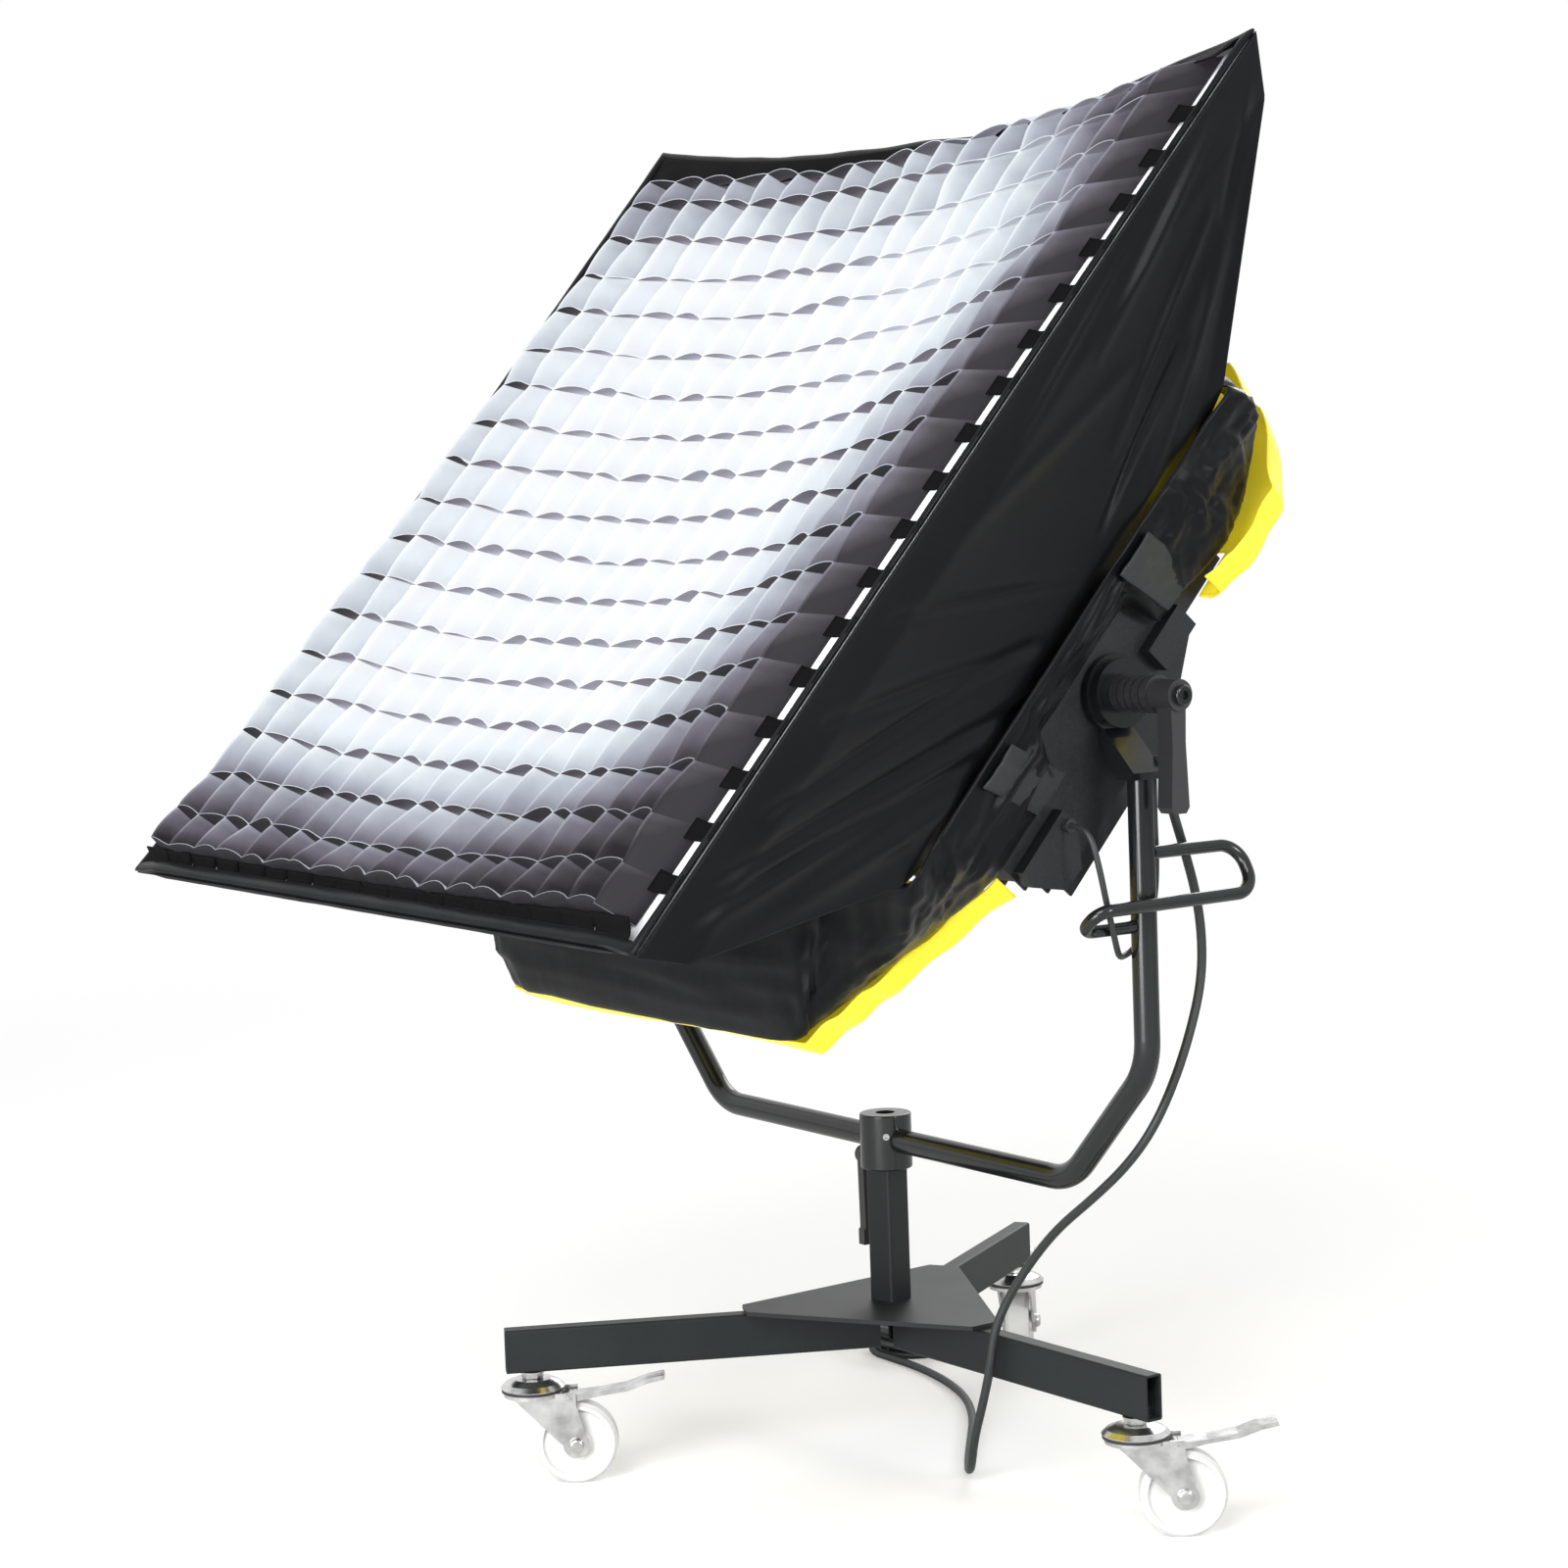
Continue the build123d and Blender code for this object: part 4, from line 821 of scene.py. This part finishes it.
def painted_glow_cloth(name, part):
    """The net's ribbons, whose look is painted light given off as emission and, dimmer, laid into the base colour:
    white in the middle, violet grey towards the right and the foot.
    """
    material, surface, place = new_finish(name, Roughness=0.75, Specular_IOR_Level=0.2)
    apart = place.node("SeparateXYZ")
    material.node_tree.links.new(place.socket, apart.socket.node.inputs[0])
    u = place.node("VectorMath", {"operation": "DOT_PRODUCT"}, {0: place, 1: UP_FACE}, out=1)
    u = u - HEAD_AT.dot(UP_FACE)
    # Painted shade by place on the net: darker towards the right, the foot, the top and the left, and on the last
    # column at the right. The noise wobbles the borders.
    drift = place.noise(7, 2) * 0.12 - 0.06
    right = (apart + drift + (0.10 - u) * 0.10).between(0.13, 0.50)
    foot = 1 - (u + drift).between(-0.50, -0.23)
    head = (u + drift).between(0.25, 0.44)
    left = 1 - (apart + drift).between(-0.44, -0.24)
    last = apart.between(0.390, 0.412)
    shade = 1 - (
        (1 - right * 0.88) * (1 - foot * 0.88) * (1 - head * 0.50) * (1 - left * 0.26) * (1 - last * 0.5))
    ribbon_uv = Reading(material.node_tree.nodes.new("ShaderNodeUVMap").outputs["UV"])
    parts = ribbon_uv.node("SeparateXYZ")
    material.node_tree.links.new(ribbon_uv.socket, parts.socket.node.inputs[0])
    deep = Reading(parts.socket.node.outputs["Y"])
    cells = parts * (len(ROWS) - 1)
    cell = cells.node("Math", {"operation": "FRACT"}, {0: cells})
    if part == "upright":
        # Painted shade on the upright ribbons: darker towards the lower end of each cell and towards the back, with a
        # lighter front edge.
        shade = shade + (1 - cell).between(0.25, 1.0) * (0.06 + shade * 0.14) - cell.between(0.80, 1.0) * 0.06
        shade = shade + (1 - deep) * 0.10 - deep.between(0.93, 0.97) * 0.12
    elif part == "under":
        # Painted shade on the ribbons' undersides: darker all over, darker towards the front and on the far left, and
        # lighter right of the middle in the upper half.
        shade = shade * 0.75 + deep.between(0.0, 0.8) * 0.30 + 0.34 + (1 - apart.between(-0.39, -0.35)) * 0.25
        shade = shade - apart.between(-0.05, 0.25) * u.between(0.05, 0.28) * 0.40
    else:
        # Painted light on the ribbons' top sides: lighter than the rest.
        shade = shade * 0.6
    shade = shade + place.noise(45, 3) * 0.10 - 0.05
    colour = shade.node("ValToRGB", {"stops": (
        (0.0, (0.93, 0.95, 0.97)), (0.22, (0.78, 0.83, 0.88)), (0.45, (0.46, 0.49, 0.56)),
        (0.70, (0.19, 0.18, 0.225)), (0.88, (0.062, 0.056, 0.068)),
        (1.0, (0.016, 0.014, 0.017)))}, {0: shade})
    weave = place.noise(1300, 2)
    # The painted light is given off as emission, and a dimmer share of it goes into the base colour.
    (weave * 0.14 + 0.86).node("Mix", {"data_type": "RGBA"}, {
        0: weave * 0.12, 6: colour, 7: (0.02, 0.02, 0.022, 1)}, out=2).feeds(surface, "Emission Color")
    colour.node("Mix", {"data_type": "RGBA"}, {
        0: 0.22, 6: (0.008, 0.008, 0.009, 1), 7: colour}, out=2).feeds(surface, "Base Color")
    surface.inputs["Emission Strength"].default_value = 0.75
    weave.bump(0.2, 0.0003).feeds(surface, "Normal")
    return material


# Lit and shaded copies of one painted material: the upright ribbons, the undersides of the level ribbons and their top
# sides.
upright_ribbon_painted_glow = painted_glow_cloth("upright_ribbon_painted_glow", "upright")
ribbon_under_painted_shade = painted_glow_cloth("ribbon_under_painted_shade", "under")
ribbon_top_painted_light = painted_glow_cloth("ribbon_top_painted_light", "top")

knots = [[
    Vector((random.uniform(-0.003, 0.003), random.uniform(-0.0035, 0.0035), random.uniform(-0.003, 0.002)))
    for row in ROWS] for column in range(CELLS + 1)]
bellies = [[random.uniform(-0.0035, 0.0005) for row in ROWS] for column in range(CELLS + 1)]
arches = [[random.uniform(0.0005, 0.0070) for row in ROWS] for column in range(CELLS + 1)]


def net_point(x, u, out):
    """A point of the net at x across and u up the face, out from 0 at its back to 1 at its front."""
    step = 0.004
    lean_x = (hang(x + step, u) - hang(x - step, u)) / (2 * step) if abs(x) < 0.405 else (
        -0.30 if x > 0 else 0.22)
    top = max(0.0, u / NET_HIGH)
    sunk = 0.0265 * max(0.0, 1 - ((x + 0.04) / 0.47) ** 2) - 0.006 * math.exp(-((x - 0.1) / 0.12) ** 2)
    height = max(0.0, min(1.0, (u - NET_LOW) / 0.26))
    beside = max(0.0, min(1.0, (x + 0.02) / 0.22)) * min(1.0, 2 * top)
    raised = (0.004 + 0.014 * height + 0.012 * top) * (1 - 0.55 * (1 - beside) * top ** 4) + 0.012 * beside
    raised -= 0.004 * max(0.0, min(1.0, -(x + 0.1) / 0.2)) * (1 - top)
    splay = 0.014 * (1 - out) if x > 0.405 else 0.0
    return Vector((
        x + out * NET_DEEP * lean_x + splay, u + (1 - out) * raised,
        WALL_FRONT - hang(min(x + splay, GRID_X), u) - sunk * top * top + out * NET_DEEP))


def ribbon(name, column, row):
    """An upright ribbon at a column, or a level one at a row."""
    upright = row is None
    count = len(ROWS) - 1 if upright else CELLS

    def place(a, b):
        run = min(a * count, count - 1e-6)
        cell, share = int(run), run - int(run)
        ease = share * share * (3 - 2 * share)
        bulge = 4 * share * (1 - share)
        if upright:
            knot = knots[column][cell].lerp(knots[column][cell + 1], ease)
            x = GRID_X * (2 * column / CELLS - 1)
            u = ROWS[cell] + (ROWS[cell + 1] - ROWS[cell]) * share
            bulge = Vector((bellies[column][cell], 0, 0.0012)) * bulge
        else:
            knot = knots[cell][row].lerp(knots[cell + 1][row], ease)
            x = GRID_X * (2 * a - 1)
            u = ROWS[row]
            bulge = Vector((0, arches[cell][row], 0.0012)) * bulge
        at = net_point(x, u, b) + (knot + bulge) * b ** 1.2
        return from_head(*at)

    if upright:
        return cloth_grid(name, count * 6, 4, place, 0.0007, upright_ribbon_painted_glow)
    return cloth_grid(name, count * 6, 4, place, 0.0007, ribbon_under_painted_shade, ribbon_top_painted_light)


def joined(pieces, name):
    """These pieces as one object."""
    bpy.ops.object.select_all(action="DESELECT")
    for piece in pieces:
        piece.select_set(True)
    bpy.context.view_layer.objects.active = pieces[0]
    bpy.ops.object.join()
    whole = bpy.context.object
    whole.name = name
    return whole


ribbons = [ribbon("ribbon", column, None) for column in range(CELLS + 1)]
ribbons += [ribbon("ribbon", None, row) for row in range(len(ROWS))]
net = joined(ribbons, "cell_grid")
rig.ride(net, "head")
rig.slot(net, "black_cloth")
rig.replaces(net, "egg_crate_grid")

# ---------------------------------------------------------------- lip and tabs
# The mouth's edge is a rolled and bound hem of black nylon. Webbing tabs tie the net to it,
# with the bright diffuser showing between them on the right.


def lip_place(a, b):
    corners = (
        (-MOUTH_HALF, MOUTH_LOW), (MOUTH_HALF, MOUTH_LOW), (MOUTH_HALF, MOUTH_HIGH),
        (-MOUTH_HALF, MOUTH_HIGH), (-MOUTH_HALF, MOUTH_LOW))
    run = min(a * 4, 4 - 1e-6)
    side, share = int(run), run - int(run)
    first, second = corners[side], corners[side + 1]
    x = first[0] + (second[0] - first[0]) * share
    u = first[1] + (second[1] - first[1]) * share
    angle = 2 * math.pi * b
    along = min(share, 1 - share)
    thick = 0.0052 + (0.0042 * min(1.0, along * 16) if side == 0 else 0.0)
    thick -= 0.0030 * min(1.0, along * 16) if side == 1 else 0.0
    ruck = 0.0010 * noise.noise(Vector((a * 60, 0, 1)))
    inward = thick * (1 - math.cos(angle)) - (thick - 0.0052) - ruck
    deep = 0.2970 + max(0.0030, thick - 0.0022) * math.sin(angle) + ruck
    if side % 2:
        pull = lip_bow(u) if side == 3 else 0.0
        x -= math.copysign(inward + pull, x)
        u -= math.copysign(inward * max(0.0, 1 - along * 60), u)
    else:
        u -= math.copysign(inward, u)
        x -= math.copysign(inward * max(0.0, 1 - along * 60), x)
        if side == 2:
            u -= lip_sag(x)
            deep -= lip_sag(x)
    return from_head(x, u, deep)


lip = cloth_grid("mouth_hem", 240, 12, lip_place, 0, nylon_cloth)
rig.ride(lip, "head")
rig.slot(lip, "black_cloth")
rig.replaces(lip, "front_lip")


def webbing_tab(name, start, end, half, along):
    """A flat tab from the net's edge to the hem, this wide each side of its middle."""

    def place(a, b):
        wide = (2 * a - 1) * half * (1 + 0.25 * (1 - b))
        at = Vector(start).lerp(Vector(end), b) + Vector(along) * wide
        at.z -= 0.004 * math.sin(math.pi * b)
        return from_head(*at)

    return cloth_grid(name, 6, 8, place, 0.0012, band_cloth)


band_cloth, surface, place = new_finish("black_band_cloth", Roughness=0.7, Specular_IOR_Level=0.05)
rib = place.noise(1200, 2)
rib.blend((0.0015, 0.0015, 0.0018), (0.0050, 0.0050, 0.0056)).feeds(surface, "Base Color")
(rib * 0.2 + 0.55).feeds(surface, "Roughness")
rib.bump(0.4, 0.0004).feeds(surface, "Normal")

tabs = []
TAB_SHIFT = 0.003
for row in ROWS[1:-1]:
    u = row + TAB_SHIFT
    front = net_point(GRID_X, row, 0.25)
    tabs.append(webbing_tab("tab", (front.x + 0.0015, u, front.z), (0.4475, u, 0.2985), 0.0075, (0, 1, 0)))
for column in range(CELLS + 1):
    x = GRID_X * (2 * column / CELLS - 1)
    front = net_point(x, ROWS[0], 0.6)
    side = random.uniform(-0.003, 0.003)
    tabs.append(webbing_tab(
        "tab", (x + side, front.y - 0.001, front.z), (x + side, -0.4665, 0.2985),
        random.uniform(0.0175, 0.0235), (1, 0, 0)))


def band_place(side):
    """Plain black cloth between the net's edge and the hem, on the left or along the top."""

    def place(a, b):
        if side == "left":
            u = -0.470 + 0.915 * a
            inner = net_point(-GRID_X, max(ROWS[0], min(ROWS[-1], u)), 0.10)
            at = Vector((-0.4425 + lip_bow(u), u, 0.2985)).lerp(Vector((inner.x - 0.004, u, inner.z)), b)
            low = lip_sag(at.x) * max(0.0, min(1.0, (u - 0.40) / 0.045))
            at -= Vector((0, low, low))
        else:
            x = 0.438 * (2 * a - 1)
            inner = net_point(max(-GRID_X, min(GRID_X, x)), ROWS[-1], 0.5)
            outer = Vector((x, 0.4455 - lip_sag(x), 0.2990 - lip_sag(x)))
            at = outer.lerp(Vector((x, inner.y + 0.001, inner.z)), b)
        at.z += 0.0012 * math.sin(70 * a) * b
        return from_head(*at)

    return place


tabs.append(cloth_grid("band", 90, 8, band_place("left"), 0.0012, band_cloth))
tabs.append(cloth_grid("band", 90, 8, band_place("top"), 0.0012, band_cloth))
tied = joined(tabs, "mouth_bands")
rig.ride(tied, "head")
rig.slot(tied, "black_cloth")
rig.sheet(
    diffuser, flat=(0.892, 0.92), held="stretched", rests_on=["panel_right", "panel_left"],
    with_pieces=[lip, tied])

# ---------------------------------------------------------------- rear skirt
# A black nylon sleeve gathered from the softbox's shoulder back over the lamp, open at the
# sides where the yoke's ears come in, with straps that pull it tight there.

SKIRT = (
    (0.208, 0.358), (0.280, 0.312), (0.332, 0.260), (0.362, 0.208), (0.376, 0.160), (0.368, 0.122),
    (0.357, 0.096), (0.354, 0.040), (0.354, -0.090), (0.352, -0.196), (0.322, -0.246), (0.291, -0.291),
    (0.246, -0.354), (0.206, -0.376),
)
SEAM_X, SEAM_LOW, SEAM_HIGH = 0.3976, -0.2681, 0.2464
SEAM = (
    (0.232, SEAM_HIGH), (0.330, SEAM_HIGH), (SEAM_X, SEAM_HIGH), (SEAM_X, 0.205), (SEAM_X, 0.160),
    (SEAM_X, 0.125), (SEAM_X, 0.095), (SEAM_X, 0.040), (SEAM_X, -0.090), (SEAM_X, -0.196),
    (SEAM_X, -0.230), (SEAM_X, SEAM_LOW), (0.300, SEAM_LOW), (0.220, SEAM_LOW),
)


def round_outline(points, a):
    """A point at this share of the way round a closed outline, with soft corners."""
    count = len(points)
    run = (a % 1.0) * count
    index, share = int(run) % count, run - int(run)
    p0, p1, p2, p3 = (Vector(points[(index + step) % count]) for step in (-1, 0, 1, 2))
    linear = p1.lerp(p2, share)
    curved = 0.5 * ((2 * p1) + (p2 - p0) * share + (2 * p0 - 5 * p1 + 4 * p2 - p3) * share ** 2
                    + (3 * p1 - p0 - 3 * p2 + p3) * share ** 3)
    return linear.lerp(curved, 0.6)


def mirrored(points):
    """An outline's right half, followed by its left half."""
    return list(points) + [(-x, u) for x, u in reversed(points)]


def crease(x, y, seed=0.0):
    """Sharp-edged crumple from about -1 to 1, as coated cloth takes."""
    first = 1 - 2.2 * abs(noise.noise(Vector((x, y, seed))))
    second = 1 - 2.2 * abs(noise.noise(Vector((2.3 * x + 7, 2.3 * y, seed + 4))))
    return 0.65 * first + 0.35 * second


def skirt_place(a, b):
    rim = round_outline(mirrored(SKIRT), a)
    seam = round_outline(mirrored(SEAM), a)
    beside = max(0.0, min(1.0, (abs(rim.x) - 0.335) / 0.015))
    notch = beside * max(0.0, min(1.0, (0.070 - rim.y) / 0.012)) * max(0.0, min(1.0, (rim.y + 0.098) / 0.012))
    rim_n = 0.006 + 0.040 * notch
    n = rim_n + (0.100 - rim_n) * b
    at = rim.lerp(seam, b)
    swell = max(0.0, math.sin(math.pi * b)) ** 0.8
    outward = Vector((at.x, at.y)).normalized()
    strapped = beside * max(0.0, 1 - abs(rim.y - 0.09) / 0.05)
    folds = crease(a * 46, b * 1.6) * (0.0075 - 0.002 * beside)
    folds += crease(a * 20 + 3, b * 3.5, 9.0) * (0.006 + 0.002 * beside)
    puff = 0.010 * (1 - beside) + 0.002 * beside
    out = swell * (puff + folds * (1 - 0.7 * strapped))
    out += 0.0022 * crease(a * 90, b * 2, 3.0) * (1 - b)
    out = max(out, -0.002 if abs(at.x) > 0.352 else out)
    at += outward * out
    if abs(at.x) < 0.352 and -0.19 < at.y < 0.16:
        at.x = math.copysign(0.352, at.x)
    return from_head(at.x, at.y, n)


skirt = cloth_grid("rear_skirt_cloth", 460, 26, skirt_place, 0, nylon_cloth)
bpy.ops.object.mode_set(mode="EDIT")
bpy.ops.mesh.select_all(action="SELECT")
bpy.ops.mesh.remove_doubles(threshold=0.0002)
bpy.ops.mesh.normals_make_consistent(inside=False)
bpy.ops.object.mode_set(mode="OBJECT")
solid = skirt.modifiers.new("wall", "SOLIDIFY")
solid.thickness = 0.0014
solid.offset = 0
bpy.ops.object.modifier_apply(modifier="wall")
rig.ride(skirt, "head")
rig.slot(skirt, "black_cloth")
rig.replaces(skirt, "rear_skirt")

# ---------------------------------------------------------------- straps
# Wide black webbing straps that pull the skirt tight over the lamp's ends, above and
# below the yoke.

STRAPS = ((0.050, 0.096, 0.032), (-0.168, -0.124, 0.034))       # lower edge, upper edge, skew

webbing, surface, place = new_finish("black_webbing", Roughness=0.6, Specular_IOR_Level=0.3)
rib = place.noise(900, 2, stretch=(1, 0.25, 0.25))
cloud = place.noise(16, 3)
(rib * 0.5 + cloud * 0.5).blend((0.010, 0.012, 0.0125), (0.036, 0.041, 0.043)).feeds(surface, "Base Color")
(rib * 0.2 + 0.45).feeds(surface, "Roughness")
rib.bump(0.5, 0.0006).feeds(surface, "Normal")


def strap_place(sign, low, high, skew):
    def place(a, b):
        n = 0.092 - 0.084 * b
        u = low + (high - low) * a + skew * b
        x = 0.3605 + 0.040 * (1 - b) ** 1.5 + 0.006 * math.sin(math.pi * b)
        x += 0.0016 * crease(a * 3 + low * 40, b * 3, 2.0) + 0.002 * math.sin(math.pi * a)
        return from_head(sign * x, u, n)

    return place


straps = []
for sign in (1, -1):
    for low, high, skew in STRAPS:
        straps.append(cloth_grid("strap", 20, 26, strap_place(sign, low, high, skew), 0.0016, webbing))
pulled_straps = joined(straps, "skirt_straps")
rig.ride(pulled_straps, "head")
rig.slot(pulled_straps, "black_cloth")
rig.sheet(
    skirt, flat=(2.62, 0.14), held="gathered", rests_on=["head_shell"], area=0.34,
    with_pieces=[pulled_straps])

# ---------------------------------------------------------------- rear cover
# The lamp's own rain cover in lemon-yellow coated cloth, whose edge stands out behind the
# skirt above and below the yoke.

# The cover gives off a painted glow in its own yellow (emission 0.28), which lifts its shaded parts.
lemon, surface, place = new_finish(
    "lemon_coated_cloth", Roughness=0.5, Sheen_Weight=0.2, Emission_Strength=0.28)
weave = place.noise(1500, 2)
cloud = place.noise(18, 4)
(cloud * 0.8 + weave * 0.2).blend((0.80, 0.62, 0.006), (0.93, 0.80, 0.03)).feeds(surface, "Base Color")
cloud.blend((0.80, 0.62, 0.006), (0.93, 0.80, 0.03)).feeds(surface, "Emission Color")
(cloud * 0.2 + 0.38).feeds(surface, "Roughness")
crush = place.noise(30, 4, 0.6)
crush.node("Bump", None, {
    "Height": crush, "Strength": 0.4, "Distance": 0.006,
    "Normal": weave.bump(0.2, 0.0003)}).feeds(surface, "Normal")

UPPER_RIM = mirrored((
    (0.372, 0.124), (0.390, 0.152), (0.389, 0.205), (0.382, 0.229), (0.306, 0.314), (0.218, 0.374)))
UPPER_IN = mirrored((
    (0.3495, 0.120), (0.3495, 0.140), (0.3495, 0.1675), (0.300, 0.1675), (0.240, 0.1675), (0.150, 0.1675)))
LOWER_RIM = mirrored(((0.350, -0.194), (0.320, -0.245), (0.285, -0.302), (0.262, -0.337), (0.240, -0.372)))
LOWER_IN = mirrored(((0.350, -0.194), (0.280, -0.194), (0.220, -0.194), (0.170, -0.194), (0.120, -0.194)))


def along_points(points, a):
    run = min(max(a, 0.0) * (len(points) - 1), len(points) - 1 - 1e-6)
    index, share = int(run), run - int(run)
    return Vector(points[index]).lerp(Vector(points[index + 1]), share)


def cover_band(rim, inner):
    def place(a, b):
        outer = along_points(rim, a)
        within = along_points(inner, a)
        if b < 0.3:
            at = outer + (within - outer) * 0.02 * (b / 0.3)
            n = 0.002 - 0.021 * math.sin(b / 0.3 * math.pi / 2)
        else:
            share = (b - 0.3) / 0.7
            at = outer.lerp(within, 0.02 + 0.98 * share)
            n = -0.019 - 0.004 * math.sin(math.pi * share) * (1 + 0.5 * math.sin(40 * a))
        wave = 0.003 * math.sin(60 * a + 4 * b) * (1 - b)
        way = within - outer
        if way.length > 1e-6:
            at -= way.normalized() * wave
        return from_head(at.x, at.y, n)

    return place


for name, rim, inner, flat, plane in (
    ("upper_cover", UPPER_RIM, UPPER_IN, (1.10, 0.24), 0.163),
    ("lower_cover", LOWER_RIM, LOWER_IN, (0.90, 0.20), 0.124),
):
    cover = cloth_grid(name, 140, 26, cover_band(rim, inner), 0.0016, lemon)
    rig.ride(cover, "head")
    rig.slot(cover, "yellow_cloth")
    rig.sheet(cover, flat=flat, held="stretched", rests_on=["head_shell"], area=plane)
    if name == "upper_cover":
        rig.replaces(cover, "rear_cover")

low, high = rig.bounds()
with open("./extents.json", "w") as size_file:
    json.dump({"cad": [list(corner) for corner in cad_box], "visual": [list(low), list(high)]}, size_file)
